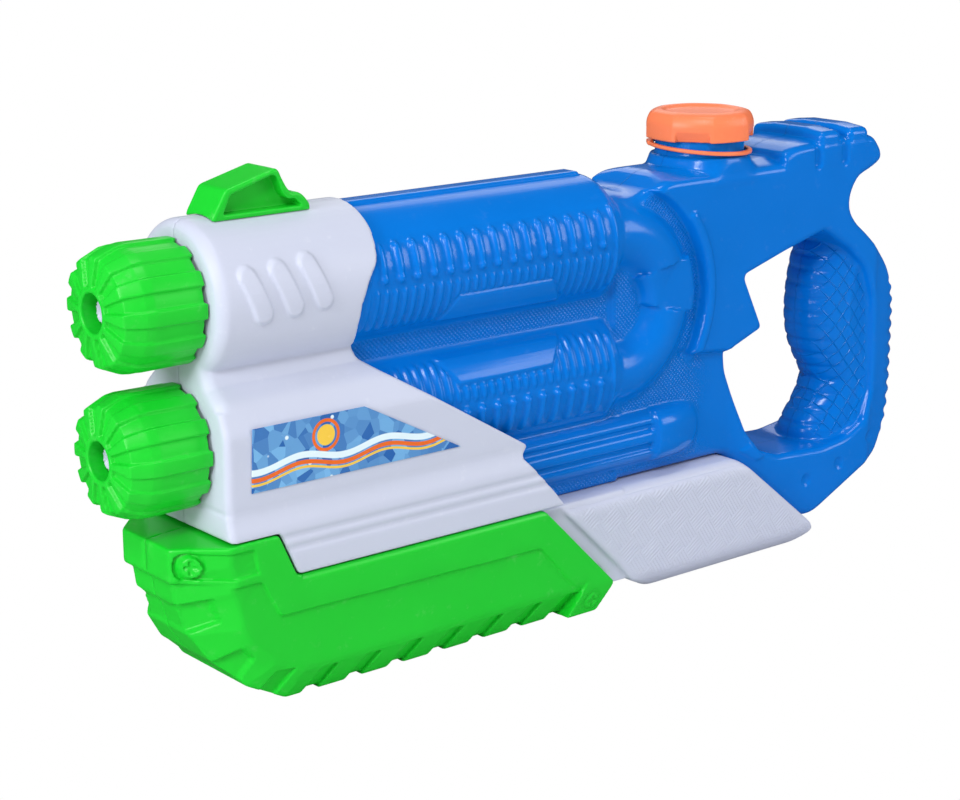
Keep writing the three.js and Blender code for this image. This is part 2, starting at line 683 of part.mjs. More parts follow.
function waterTank() {
  const outside = join(rearBody(0), tankWeb(0), barrel(UPPER_AXIS_Z, 0), barrel(lowerAxisZ, 0), bulge(0),
    swept(ELBOW_HALF_HEIGHT, ELBOW_HALF_WIDTH, elbowPath(0), ROUND_SIDES / 2, 14),
    gripCore(0), neckSolid(), rearBars());
  const inside = join(rearBody(TANK_WALL), tankWeb(TANK_WALL), barrel(UPPER_AXIS_Z, TANK_WALL),
    barrel(lowerAxisZ, TANK_WALL), bulge(TANK_WALL),
    swept(ELBOW_HALF_HEIGHT - TANK_WALL, ELBOW_HALF_WIDTH - TANK_WALL, elbowPath(4), ROUND_SIDES / 2, 14),
    gripCore(TANK_WALL),
    turnedUp(rod(NECK_BORE_RADIUS, TANK_TOP_Z - 2 * TANK_WALL, FAR), neckX, 0, FINE_SIDES));
  const outlet = turnedUp(rod(INLET_RADIUS + GROMMET_WALL + 2 * FIT, 0, tankBottomZ + 2 * TANK_WALL),
    inletX, 0, ROUND_SIDES);
  return cut(outside, inside, outlet);
}

// Filler cap, its seal and its tether

function fillerCap() {
  const shoulder = capTopZ - CAP_EDGE_ROUND;
  const outside = turnedUp([
    [0, capBottomZ], [CAP_RADIUS - 1, capBottomZ], [CAP_RADIUS, capBottomZ + 1], [CAP_RADIUS, shoulder],
    [CAP_RADIUS - 1, capTopZ - 0.6], [CAP_RADIUS - CAP_EDGE_ROUND, capTopZ], [CAP_RADIUS - 7, capTopZ],
    [0, capTopZ - 1.2],
  ], neckX, 0, FINE_SIDES);
  const flats = [];
  for (let i = 0; i < CAP_LOBES; i += 1) {
    const lobe = new THREE.BoxGeometry(4, 9, CAP_SKIRT * 0.6);
    lobe.translate(CAP_RADIUS + 2 - CAP_LOBE_DEPTH, 0, capBottomZ);
    lobe.rotateZ(2 * Math.PI * (i + 0.5) / CAP_LOBES);
    flats.push(solidOf(lobe.translate(neckX, 0, 0)));
  }
  const bore = turnedUp(rod(NECK_RADIUS + THREAD_HEIGHT + FIT, 0, capInnerTopZ), neckX, 0, FINE_SIDES);
  return cut(outside, bore, ...flats);
}

function capSeal() {
  const low = neckTopZ + FIT;
  return turnedUp(rod(NECK_RADIUS, low, low + CAP_SEAL_THICKNESS), neckX, 0, ROUND_SIDES);
}

function capTether() {
  const inner = NECK_RADIUS + FIT * 4;
  const low = flangeTopZ + FIT;
  const tilt = capBottomZ - 2 * FIT - TETHER_THICKNESS - low;
  const section = ring(inner, inner + TETHER_WIDTH, low, low + TETHER_THICKNESS);
  const geometry = lathe(section, FINE_SIDES).rotateX(Math.PI / 2);
  const points = geometry.attributes.position;
  for (let i = 0; i < points.count; i += 1) {
    const rise = tilt * (1 - points.getX(i) / (inner + TETHER_WIDTH)) / 2;
    points.setZ(i, points.getZ(i) + rise);
  }
  const loop = solidOf(geometry.translate(neckX, 0, 0));
  const tabX = neckX - inner - TETHER_WIDTH;
  const tab = box(tabX - 1.5, tabX + 1.5, -5, 5, low + tilt, capBottomZ - FIT);
  return join(loop, tab);
}

// Front shell

function shellSection() {
  const creaseZ = UPPER_AXIS_Z - Math.sqrt(lobeRadius ** 2 - SHELL_CREASE_HALF ** 2);
  const startAngle = Math.atan2(creaseZ - UPPER_AXIS_Z, SHELL_CREASE_HALF);
  const lobe = arc(0, UPPER_AXIS_Z, lobeRadius, Math.PI / 2, startAngle, 14);
  lobe[0][0] = 0;
  return mirrored([
    ...lobe,
    [SHELL_CREASE_HALF + 1, creaseZ - SHELL_CREASE_DROP],
    [SHELL_HIP_HALF, lowerAxisZ + SHELL_HIP_RISE],
    [SHELL_SIDE_HALF, lowerAxisZ + SHELL_SIDE_RISE],
    [SHELL_SIDE_HALF, SHELL_SIDE_BOTTOM_Z],
    [SHELL_WAIST_HALF, SHELL_SIDE_BOTTOM_Z - SHELL_WAIST_DROP],
    [SHELL_LEDGE_HALF, SHELL_LEDGE_Z],
    [SHELL_SKIRT_HALF, SHELL_LEDGE_Z - SHELL_SKIRT_DROP],
    [SHELL_SKIRT_HALF, shellSkirtZ],
  ]);
}

function shellSideOutline() {
  const creaseZ = UPPER_AXIS_Z - BARREL_SPACING / 2;
  const waveX = shellTopRearX - SHELL_WAVE;
  const tipX = shellFrontX + SHELL_TIP_LENGTH;
  const earSlopeX = gripEarRearX + GRIP_EAR_SLOPE;
  return [
    [shellFrontX, SHELL_LEDGE_Z],
    [gripEarRearX + 2, SHELL_LEDGE_Z],
    [earSlopeX + 2, shellSkirtZ],
    [shellTailX, shellSkirtZ],
    [shellTailX - 8.5, shellSkirtZ + 9.7],
    [tipX - 2.2, SHELL_TIP_Z - 4.2],
    [tipX, SHELL_TIP_Z],
    [waveX + 9.5, creaseZ - 8.4],
    [waveX + 5, creaseZ - 5.5],
    [waveX, creaseZ],
    [waveX + 1.5, creaseZ + 14],
    [waveX + 8, creaseZ + 25],
    [waveX + 9.5, creaseZ + 33],
    [shellTopRearX, lobeTopZ + 2],
    [shellFrontX, lobeTopZ + 2],
  ];
}

function shellCollars() {
  const lip = COLLAR_RADIUS + COLLAR_LIP;
  return join(...[UPPER_AXIS_Z, lowerAxisZ].map((z) => turnedAlong([
    [0, collarFrontX], [lip, collarFrontX], [lip, collarFrontX + COLLAR_LIP_LENGTH],
    [COLLAR_RADIUS, collarFrontX + COLLAR_LIP_LENGTH], [COLLAR_RADIUS, shellFrontX + 2 * SHELL_WALL],
    [0, shellFrontX + 2 * SHELL_WALL],
  ], 0, z, ROUND_SIDES)));
}

function jetBores() {
  const bore = JET_RADIUS + FIT;
  const flange = JET_FLANGE_RADIUS + FIT;
  return join(...[UPPER_AXIS_Z, lowerAxisZ].map((z) => turnedAlong([
    [0, -FAR], [bore, -FAR], [bore, jetFlangeX - FIT], [flange, jetFlangeX - FIT],
    [flange, jetFlangeX + JET_FLANGE_LENGTH + FIT], [bore, jetFlangeX + JET_FLANGE_LENGTH + FIT],
    [bore, jetRearX], [0, jetRearX],
  ], 0, z, ROUND_SIDES)));
}

function sightSlot() {
  const middle = sightFrontX + SIGHT_LENGTH / 2;
  const reach = SIGHT_TONGUE_LENGTH / 2 + FIT;
  const half = SIGHT_TONGUE_HALF + FIT;
  return box(middle - reach, middle + reach, -half, half, UPPER_AXIS_Z, FAR);
}

function frontShell(side) {
  const section = shellSection();
  const profile = prismAcross(shellSideOutline(), -FAR, FAR);
  const outside = prismAlong(section, shellFrontX, shellTailX).intersect(profile);
  const hollow = prismAlong(inset(section, SHELL_WALL), shellFrontX + SHELL_WALL, FAR);
  const mouth = SHELL_WAIST_HALF - SHELL_WALL;
  const openBottom = box(shellFrontX + SHELL_WALL, FAR, -mouth, mouth, 0, SHELL_SIDE_BOTTOM_Z);
  const walls = cut(outside, hollow, openBottom);
  const whole = join(walls, shellCollars(), bosses(shellScrews, side, outside));
  return halfOf(cut(whole, jetBores(), screwHoles(shellScrews), sightSlot()), side);
}

// Nozzles

function nozzleCap(z) {
  const valley = NOZZLE_RADIUS - NOZZLE_LAND_HEIGHT;
  const outline = [];
  for (let i = 0; i < NOZZLE_LANDS; i += 1) {
    [[-0.25, valley], [-0.2, NOZZLE_RADIUS], [0, NOZZLE_RADIUS], [0.2, NOZZLE_RADIUS], [0.25, valley],
      [0.5, valley]]
      .forEach(([share, radius]) => {
        const angle = 2 * Math.PI * (i + share) / NOZZLE_LANDS;
        outline.push([radius * Math.cos(angle), radius * Math.sin(angle) + z]);
      });
  }
  const rear = shellFrontX - FIT;
  const gear = prismAlong(outline, noseX, rear);
  const cone = turnedAlong([
    [0, noseX], [NOZZLE_FRONT_RADIUS, noseX], [NOZZLE_FACE_RADIUS, noseX + NOZZLE_FACE_DROP],
    [NOZZLE_SHOULDER_RADIUS, noseX + NOZZLE_SHOULDER_LENGTH],
    [NOZZLE_RADIUS, noseX + NOZZLE_CONE_LENGTH], [NOZZLE_RADIUS + 1, rear], [0, rear],
  ], 0, z, ROUND_SIDES);
  const bead = COLLAR_RADIUS + FIT;
  const sleeve = COLLAR_RADIUS + COLLAR_LIP + FIT;
  const beadX = collarFrontX + COLLAR_LIP_LENGTH + FIT;
  const bore = turnedAlong([
    [0, -FAR], [NOZZLE_HOLE_RADIUS, -FAR], [NOZZLE_HOLE_RADIUS, collarFrontX - FIT], [sleeve, collarFrontX - FIT],
    [sleeve, beadX], [bead, beadX], [bead, FAR], [0, FAR],
  ], 0, z, ROUND_SIDES);
  const gap = ring(sleeve + NOZZLE_SLEEVE_WALL, valley - NOZZLE_SKIN, rear - NOZZLE_HOLLOW_DEPTH, FAR);
  const hollow = turnedAlong(gap, 0, z, ROUND_SIDES);
  return cut(gear.intersect(cone), bore, hollow);
}

function nozzleJet(z) {
  const flangeRear = jetFlangeX + JET_FLANGE_LENGTH;
  const socketX = jetRearX - JET_SOCKET_DEPTH;
  const socket = SPIGOT_RADIUS + FIT;
  return turnedAlong([
    [JET_BORE_RADIUS, jetFrontX + JET_CUP_DEPTH], [JET_CUP_RADIUS, jetFrontX], [JET_RADIUS, jetFrontX],
    [JET_RADIUS, jetFlangeX], [JET_FLANGE_RADIUS, jetFlangeX], [JET_FLANGE_RADIUS, flangeRear],
    [JET_RADIUS, flangeRear], [JET_RADIUS, jetRearX], [socket, jetRearX], [socket, socketX],
    [JET_BORE_RADIUS, socketX], [JET_BORE_RADIUS, jetFrontX + JET_CUP_DEPTH],
  ], 0, z, SMALL_SIDES + 4);
}

function outletManifold() {
  const top = UPPER_AXIS_Z + MANIFOLD_RADIUS + 1;
  const spigotX = jetRearX - JET_SOCKET_DEPTH + FIT;
  const axes = [UPPER_AXIS_Z, lowerAxisZ];
  const outside = join(
    turnedUp(rod(MANIFOLD_RADIUS, manifoldInletZ, top), manifoldX, 0, SMALL_SIDES),
    turnedUp(rod(barbRadius, manifoldInletZ - BARB_LENGTH, manifoldInletZ + 1), manifoldX, 0, SMALL_SIDES),
    ...axes.map((z) => turnedAlong(rod(SPIGOT_RADIUS, spigotX, manifoldX), 0, z, SMALL_SIDES)));
  return cut(outside,
    turnedUp(rod(MANIFOLD_BORE, manifoldInletZ + 3, top - 2), manifoldX, 0, SMALL_SIDES),
    turnedUp(rod(BARB_BORE, 0, manifoldInletZ + 4), manifoldX, 0, SMALL_SIDES),
    ...axes.map((z) => turnedAlong(rod(JET_BORE_RADIUS, -FAR, manifoldX), 0, z, SMALL_SIDES)));
}

function supplyHose() {
  const startX = valveFrontX + 4 - FIT;
  const bendX = manifoldX + HOSE_BEND_LENGTH;
  const endZ = manifoldInletZ - FIT;
  const route = [
    [startX, OUTLET_Y, OUTLET_Z], [startX - 30, OUTLET_Y, OUTLET_Z],
    [(startX + bendX) / 2, OUTLET_Y, OUTLET_Z], [bendX, OUTLET_Y, OUTLET_Z],
    [bendX - 16, OUTLET_Y - 0.4, OUTLET_Z + 2.5],
    [bendX - 28, OUTLET_Y - 1, DECK_Z - 2.7], [bendX - 36, OUTLET_Y - 4, DECK_Z + 7.3],
    [bendX - 45, OUTLET_Y - 10, DECK_Z + 17.3], [manifoldX + 1.5, 0.6, endZ - 14],
    [manifoldX, 0, endZ - 9], [manifoldX, 0, endZ - 5], [manifoldX, 0, endZ],
  ];
  const path = new THREE.CatmullRomCurve3(route.map((p) => new THREE.Vector3(...p)), false, 'centripetal');
  const outer = arc(0, 0, HOSE_RADIUS, 0, 2 * Math.PI * (1 - 1 / HOSE_SIDES), HOSE_SIDES - 1);
  const inner = arc(0, 0, HOSE_BORE, 0, 2 * Math.PI * (1 - 1 / HOSE_SIDES), HOSE_SIDES - 1);
  const section = shapeOf(outer);
  section.holes.push(new THREE.Path(inner.map(([a, b]) => new THREE.Vector2(a, b))));
  const options = { steps: HOSE_STEPS, extrudePath: path, bevelEnabled: false };
  return solidOf(new THREE.ExtrudeGeometry(section, options));
}

// Keel

function railSection() {
  return mirrored([
    [0, DECK_Z], [RAIL_HALF, DECK_Z], [RAIL_HALF, RAIL_CHAMFER_Z], [RAIL_BOTTOM_HALF, RAIL_BOTTOM_Z],
  ]);
}

function blockSection() {
  return mirrored([
    [0, DECK_Z], [BLOCK_HALF, DECK_Z], [BLOCK_HALF, BLOCK_CHAMFER_Z], [BLOCK_BOTTOM_HALF, 0],
  ]);
}

function blockOutline() {
  const frontX = blockFrontTopX;
  const heelX = blockRearTopX + BLOCK_SLOPE_LENGTH;
  return [
    [frontX, DECK_Z], [frontX + 35, 13.8], [frontX + 40, 8], [frontX + 56, 0],
    [heelX - 4, 0], [heelX + 2.5, 4.5], [heelX, BLOCK_HEEL_Z], [blockRearTopX, DECK_Z],
  ];
}

function keelOutside() {
  const rail = prismAlong(railSection(), railFrontX, blockFrontTopX + 40);
  const block = prismAcross(blockOutline(), -FAR, FAR).intersect(prismAlong(blockSection(), -FAR, FAR));
  const tongue = box(tongueFrontX, tongueRearX, -TONGUE_HALF, TONGUE_HALF, DECK_Z - KEEL_WALL, tongueTopZ);
  const railEnd = prismAcross([
    [railFrontX, RAIL_BOTTOM_Z], [blockFrontTopX + 37, RAIL_BOTTOM_Z], [blockFrontTopX + 40, DECK_Z],
    [railFrontX, DECK_Z],
  ], -FAR, FAR);
  return { body: join(rail.intersect(railEnd), block), tongue };
}

function keelInside() {
  const rail = prismAlong(inset(railSection(), KEEL_WALL), railFrontX + KEEL_WALL, blockFrontTopX + 42);
  const block = prismAcross(inset(blockOutline(), KEEL_WALL), -FAR, FAR)
    .intersect(prismAlong(inset(blockSection(), KEEL_WALL), -FAR, FAR));
  return join(rail, block);
}

function saddle(x, top) {
  const notch = turnedAlong(rod(cylinderRadius + FIT, x - 9, x + 9), 0, PUMP_AXIS_Z, ROUND_SIDES);
  return cut(box(x, x + SADDLE_THICKNESS, -FAR, FAR, 0, top), notch);
}

function lugSlot() {
  const low = PUMP_AXIS_Z - LUG_HEIGHT / 2 - FIT;
  const high = PUMP_AXIS_Z + LUG_HEIGHT / 2 + FIT;
  return box(lugFrontX - stroke - FIT, lugRearX + FIT, -FAR, FAR, low, high)
    .subtract(box(-FAR, FAR, 4 - RAIL_HALF, RAIL_HALF - 4, -FAR, FAR));
}

function keelHalf(side) {
  const { body, tongue } = keelOutside();
  const cavity = keelInside();
  const ribs = join(
    saddle(cylinderFrontX + 22, PUMP_AXIS_Z), saddle(cylinderRearX - 30, PUMP_AXIS_Z),
    box(inletX + 4, inletX + 4 + SADDLE_THICKNESS, -FAR, FAR, 0, PUMP_AXIS_Z - VALVE_RADIUS - FIT));
  const screws = [...keelScrews, ...shellScrews.slice(2)];
  const whole = join(cut(body, cavity), tongue, ribs.intersect(body), bosses(keelScrews, side, body));
  const rodMouth = turnedAlong(rod(cylinderRadius + GLAND_WALL + 2 * FIT, -FAR, railFrontX + 2 * KEEL_WALL),
    0, PUMP_AXIS_Z, ROUND_SIDES);
  const inletHole = turnedUp(rod(INLET_RADIUS + FIT, PUMP_AXIS_Z, FAR), inletX, 0, ROUND_SIDES);
  const hoseHole = box(manifoldX + 7, manifoldX + 31, OUTLET_Y - 8, OUTLET_Y + 6, PUMP_AXIS_Z + 6, FAR);
  return halfOf(cut(whole, rodMouth, inletHole, hoseHole, lugSlot(), screwHoles(screws)), side);
}

// Pump grip

function gripOutline() {
  const rearSlope = (GRIP_TOP_Z - 11.8);
  return [
    [gripFrontX, gripEarZ - GRIP_NOSE_DROP], [gripFrontX, 51], [gripFrontX + 3, 45], [gripFrontX + 7.5, 37.5],
    [gripFrontX + 12, 28.5], [gripFrontX + 19, 18], [gripFrontX + 29, 8.5], [gripFrontX + 43, 0],
    [gripRearX + rearSlope - 11, 0], [gripRearX + rearSlope, 11.8], [gripRearX, GRIP_TOP_Z],
    [gripEarRearX + GRIP_EAR_SLOPE, GRIP_TOP_Z], [gripEarRearX, gripEarZ], [gripFrontX + 22, gripEarZ],
  ];
}

function gripPlan(skin) {
  const half = GRIP_HALF - skin;
  return mirrored([
    [GRIP_NOSE_HALF - skin / 2, gripFrontX + skin], [half, gripFrontX + GRIP_NOSE_LENGTH + skin / 2], [half, FAR],
  ]).map(([y, x]) => [x, y]);
}

function gripSection(skin) {
  return mirrored([
    [0, FAR], [GRIP_HALF - skin, FAR], [GRIP_HALF - skin, GRIP_CHAMFER_Z + skin / 2],
    [GRIP_BOTTOM_HALF - skin / 2, 0],
  ]);
}

function treadGrooves() {
  const first = gripFrontX + 66;
  const grooves = [];
  for (let i = 0; i < TREAD_COUNT - 1; i += 1) {
    const x = first + i * TREAD_PITCH;
    grooves.push(prismAcross([
      [x - TREAD_GROOVE, -1], [x + TREAD_GROOVE / 2, -1], [x + TREAD_GROOVE / 2, TREAD_DEPTH], [x, TREAD_DEPTH],
    ], -FAR, FAR));
  }
  return join(...grooves);
}

function gripOutside() {
  const top = GRIP_TOP_CHAMFER;
  const edge = mirrored([
    [GRIP_HALF - top, GRIP_TOP_Z + 1], [GRIP_HALF + 1, GRIP_TOP_Z + 1], [GRIP_HALF + 1, GRIP_TOP_Z - top - 1],
  ]);
  const edges = [edge.slice(0, 3), edge.slice(3)].map((points) => (
    prismAlong(points, gripEarRearX + GRIP_EAR_SLOPE, FAR)));
  const heel = prismAlong(mirrored([
    [0, FAR], [GRIP_HALF, FAR], [GRIP_HALF, GRIP_HEEL_CHAMFER], [GRIP_HEEL_HALF, 0],
  ]), gripRearX + GRIP_HEEL_LENGTH, FAR);
  const body = prismAcross(gripOutline(), -GRIP_HALF, GRIP_HALF)
    .intersect(prismUp(gripPlan(0), -1, FAR))
    .intersect(join(prismAlong(gripSection(0), -FAR, FAR), heel));
  return cut(body, ...edges, treadGrooves());
}

function gripInside() {
  const bumper = prismAcross(inset(gripOutline(), gripFloor), -FAR, FAR);
  const channel = box(gripEarRearX + GRIP_EAR_SLOPE + GRIP_WALL, FAR, -FAR, FAR, gripFloor, FAR);
  return join(bumper, channel)
    .intersect(prismUp(gripPlan(GRIP_WALL), -1, FAR))
    .intersect(prismAlong(gripSection(GRIP_WALL), -FAR, FAR));
}

function rodAnchor(envelope) {
  const head = ROD_HEAD_RADIUS + FIT;
  const front = gripFrontX + ROD_HEAD_SETBACK;
  const block = box(gripFrontX + 1, front + 2 * ROD_HEAD_LENGTH, -head - 3, head + 3, PUMP_AXIS_Z - head - 3,
    PUMP_AXIS_Z + head + 3);
  const pocket = turnedAlong([
    [0, front], [head, front], [head, front + ROD_HEAD_LENGTH + 2 * FIT],
    [ROD_RADIUS + FIT, front + ROD_HEAD_LENGTH + 2 * FIT], [ROD_RADIUS + FIT, FAR], [0, FAR],
  ], 0, PUMP_AXIS_Z, ROUND_SIDES);
  return { block: block.intersect(envelope), pocket };
}

function gripHalf(side) {
  const outside = gripOutside();
  const anchor = rodAnchor(outside);
  const lug = [-1, 1].map((s) => {
    const [low, high] = [s * (RAIL_HALF - 2), s * (GRIP_HALF - 1)].sort((a, b) => a - b);
    return box(lugFrontX, lugRearX, low, high, PUMP_AXIS_Z - LUG_HEIGHT / 2, PUMP_AXIS_Z + LUG_HEIGHT / 2);
  });
  const whole = join(cut(outside, gripInside()), anchor.block, bosses(gripScrews, side, outside), ...lug);
  return halfOf(cut(whole, anchor.pocket, screwHoles(gripScrews)), side);
}

// Pump

const rodFrontX = gripFrontX + ROD_HEAD_SETBACK + FIT;
const pistonRearX = cylinderRearX - 6;
const pistonFrontX = pistonRearX - PISTON_LENGTH;

function pumpRod() {
  const shoulder = pistonFrontX - FIT;
  return turnedAlong([
    [0, rodFrontX], [ROD_HEAD_RADIUS, rodFrontX], [ROD_HEAD_RADIUS, rodFrontX + ROD_HEAD_LENGTH],
    [ROD_RADIUS, rodFrontX + ROD_HEAD_LENGTH], [ROD_RADIUS, shoulder], [ROD_TENON_RADIUS, shoulder],
    [ROD_TENON_RADIUS, shoulder + ROD_TENON_LENGTH], [0, shoulder + ROD_TENON_LENGTH],
  ], 0, PUMP_AXIS_Z, ROUND_SIDES / 2);
}

function piston() {
  const radius = CYLINDER_BORE - FIT;
  const middle = (pistonFrontX + pistonRearX) / 2;
  const groove = radius - 2 * SEAL_SECTION;
  const reach = SEAL_SECTION + FIT;
  const tenon = ROD_TENON_RADIUS + FIT;
  const floorX = pistonFrontX + ROD_TENON_LENGTH + FIT;
  return turnedAlong([
    [tenon, pistonFrontX], [radius, pistonFrontX], [radius, middle - reach], [groove, middle - reach],
    [groove, middle + reach], [radius, middle + reach], [radius, pistonRearX], [0, pistonRearX],
    [0, floorX], [tenon, floorX], [tenon, pistonFrontX],
  ], 0, PUMP_AXIS_Z, ROUND_SIDES);
}

function sealRing(middle, major) {
  const section = arc(major, middle, SEAL_SECTION, 0, 2 * Math.PI, SEAL_SIDES);
  section[SEAL_SIDES] = section[0];
  return turnedAlong(section, 0, PUMP_AXIS_Z, ROUND_SIDES);
}

function pistonSeal() {
  return sealRing((pistonFrontX + pistonRearX) / 2, CYLINDER_BORE - FIT / 2 - SEAL_SECTION);
}

const rodSealX = cylinderFrontX - GLAND_LENGTH / 2;

function rodSeal() {
  return sealRing(rodSealX, ROD_RADIUS + FIT / 2 + SEAL_SECTION);
}

function pumpCylinder() {
  const tube = ring(CYLINDER_BORE, cylinderRadius, cylinderFrontX, cylinderRearX);
  return turnedAlong(tube, 0, PUMP_AXIS_Z, ROUND_SIDES);
}

function glandNut() {
  const outer = cylinderRadius + GLAND_WALL + FIT;
  const bore = ROD_RADIUS + FIT;
  const pocket = ROD_RADIUS + FIT + 2 * SEAL_SECTION + FIT;
  const reach = SEAL_SECTION + FIT;
  const face = cylinderFrontX - FIT;
  const front = cylinderFrontX - GLAND_LENGTH + KEEL_WALL;
  return turnedAlong([
    [bore, front], [outer, front], [outer, cylinderFrontX + GLAND_LENGTH / 2],
    [cylinderRadius + FIT, cylinderFrontX + GLAND_LENGTH / 2], [cylinderRadius + FIT, face], [bore, face],
    [bore, rodSealX + reach], [pocket, rodSealX + reach], [pocket, rodSealX - reach], [bore, rodSealX - reach],
    [bore, front],
  ], 0, PUMP_AXIS_Z, ROUND_SIDES);
}

// Valves

const inletSeatZ = INLET_CAGE_Z + FIT + INLET_BALL_RADIUS + INLET_TRAVEL
  + Math.sqrt(INLET_BALL_RADIUS ** 2 - INLET_SEAT_BORE ** 2) + FIT;
const outletBallX = outletSeatX - Math.sqrt(OUTLET_BALL_RADIUS ** 2 - OUTLET_PORT ** 2) - FIT;

function valveBlock() {
  const spigotTop = tankBottomZ + INLET_STANDING;
  const chamberRear = valveRearX - 6;
  const portX = outletSeatX + 8;
  const outside = join(
    turnedAlong(rod(VALVE_RADIUS, valveFrontX, valveRearX), 0, PUMP_AXIS_Z, ROUND_SIDES),
    turnedUp(rod(INLET_RADIUS, PUMP_AXIS_Z, spigotTop), inletX, 0, ROUND_SIDES),
    turnedAlong(rod(OUTLET_RADIUS, valveFrontX + 4, valveRearX), OUTLET_Y, OUTLET_Z, SMALL_SIDES + 4),
    turnedAlong(rod(barbRadius, valveFrontX + 4 - BARB_LENGTH, valveFrontX + 5), OUTLET_Y, OUTLET_Z,
      SMALL_SIDES));
  const hollow = join(
    turnedAlong(rod(cylinderRadius + FIT, -FAR, cylinderRearX + FIT), 0, PUMP_AXIS_Z, ROUND_SIDES),
    turnedAlong(rod(CHAMBER_RADIUS, cylinderRearX, chamberRear), 0, PUMP_AXIS_Z, ROUND_SIDES),
    turnedUp(rod(INLET_BORE, PUMP_AXIS_Z, inletSeatZ), inletX, 0, SMALL_SIDES + 4),
    turnedUp(rod(INLET_SEAT_BORE, PUMP_AXIS_Z, FAR), inletX, 0, SMALL_SIDES),
    turnedAlong(rod(OUTLET_BORE, valveFrontX + 8, FAR), OUTLET_Y, OUTLET_Z, SMALL_SIDES),
    turnedAlong(rod(BARB_BORE, -FAR, valveFrontX + 9), OUTLET_Y, OUTLET_Z, SMALL_SIDES),
    turnedAcross(rod(OUTLET_PORT, 0, OUTLET_Y), portX, PUMP_AXIS_Z + 4, SMALL_SIDES));
  const cage = box(inletX - INLET_CAGE_BAR / 2, inletX + INLET_CAGE_BAR / 2, -INLET_BORE - 1, INLET_BORE + 1,
    INLET_CAGE_Z - INLET_CAGE_BAR, INLET_CAGE_Z);
  return join(cut(outside, hollow), cage);
}

function valvePlug() {
  const radius = OUTLET_BORE - FIT;
  const portX = outletSeatX + 8;
  const body = turnedAlong([
    [0, outletSeatX], [radius, outletSeatX], [radius, valveRearX + FIT], [OUTLET_RADIUS, valveRearX + FIT],
    [OUTLET_RADIUS, valveRearX + 2], [0, valveRearX + 2],
  ], OUTLET_Y, OUTLET_Z, SMALL_SIDES);
  return cut(body,
    turnedAlong(rod(OUTLET_PORT, valveFrontX, portX + OUTLET_PORT), OUTLET_Y, OUTLET_Z, SMALL_SIDES),
    turnedAcross(rod(OUTLET_PORT, 0, OUTLET_Y), portX, OUTLET_Z, SMALL_SIDES));
}

function ball(radius, x, y, z) {
  return solidOf(new THREE.IcosahedronGeometry(radius, 2).translate(x, y, z));
}

function inletBall() {
  return ball(INLET_BALL_RADIUS, inletX, 0, INLET_CAGE_Z + FIT + INLET_BALL_RADIUS);
}

function outletBall() {
  return ball(OUTLET_BALL_RADIUS, outletBallX, OUTLET_Y, OUTLET_Z);
}

function outletSpring() {
  const wire = SPRING_WIRE / 2;
  const coil = OUTLET_BORE - FIT - SPRING_WIRE;
  const from = valveFrontX + 8 + FIT + wire;
  const to = outletBallX - OUTLET_BALL_RADIUS - FIT - wire;
  const steps = SPRING_TURNS * SPRING_STEPS;
  const points = [];
  for (let i = 0; i <= steps; i += 1) {
    const angle = 2 * Math.PI * i / SPRING_STEPS;
    const x = from + (to - from) * i / steps;
    points.push(new THREE.Vector3(x, OUTLET_Y + coil * Math.cos(angle), OUTLET_Z + coil * Math.sin(angle)));
  }
  const spans = points.flatMap((p, i) => points.slice(i + SPRING_STEPS / 2 + 1).map((q) => p.distanceTo(q)));
  const gap = Math.min(...spans);
  console.log(`outlet_spring least gap ${(gap - SPRING_WIRE).toFixed(2)} mm`);
  const path = new THREE.CatmullRomCurve3(points);
  return swept(wire, wire, path, SPRING_SIDES, steps);
}

function tankGrommet() {
  const inner = INLET_RADIUS + FIT;
  const outer = inner + GROMMET_WALL;
  const top = tankBottomZ + TANK_WALL + FIT;
  return turnedUp([
    [inner, tankBottomZ], [outer, tankBottomZ], [outer, top], [outer + GROMMET_FLANGE, top],
    [outer + GROMMET_FLANGE, top + 2], [inner, top + 2], [inner, tankBottomZ],
  ], inletX, 0, ROUND_SIDES);
}

// Front sight and labels

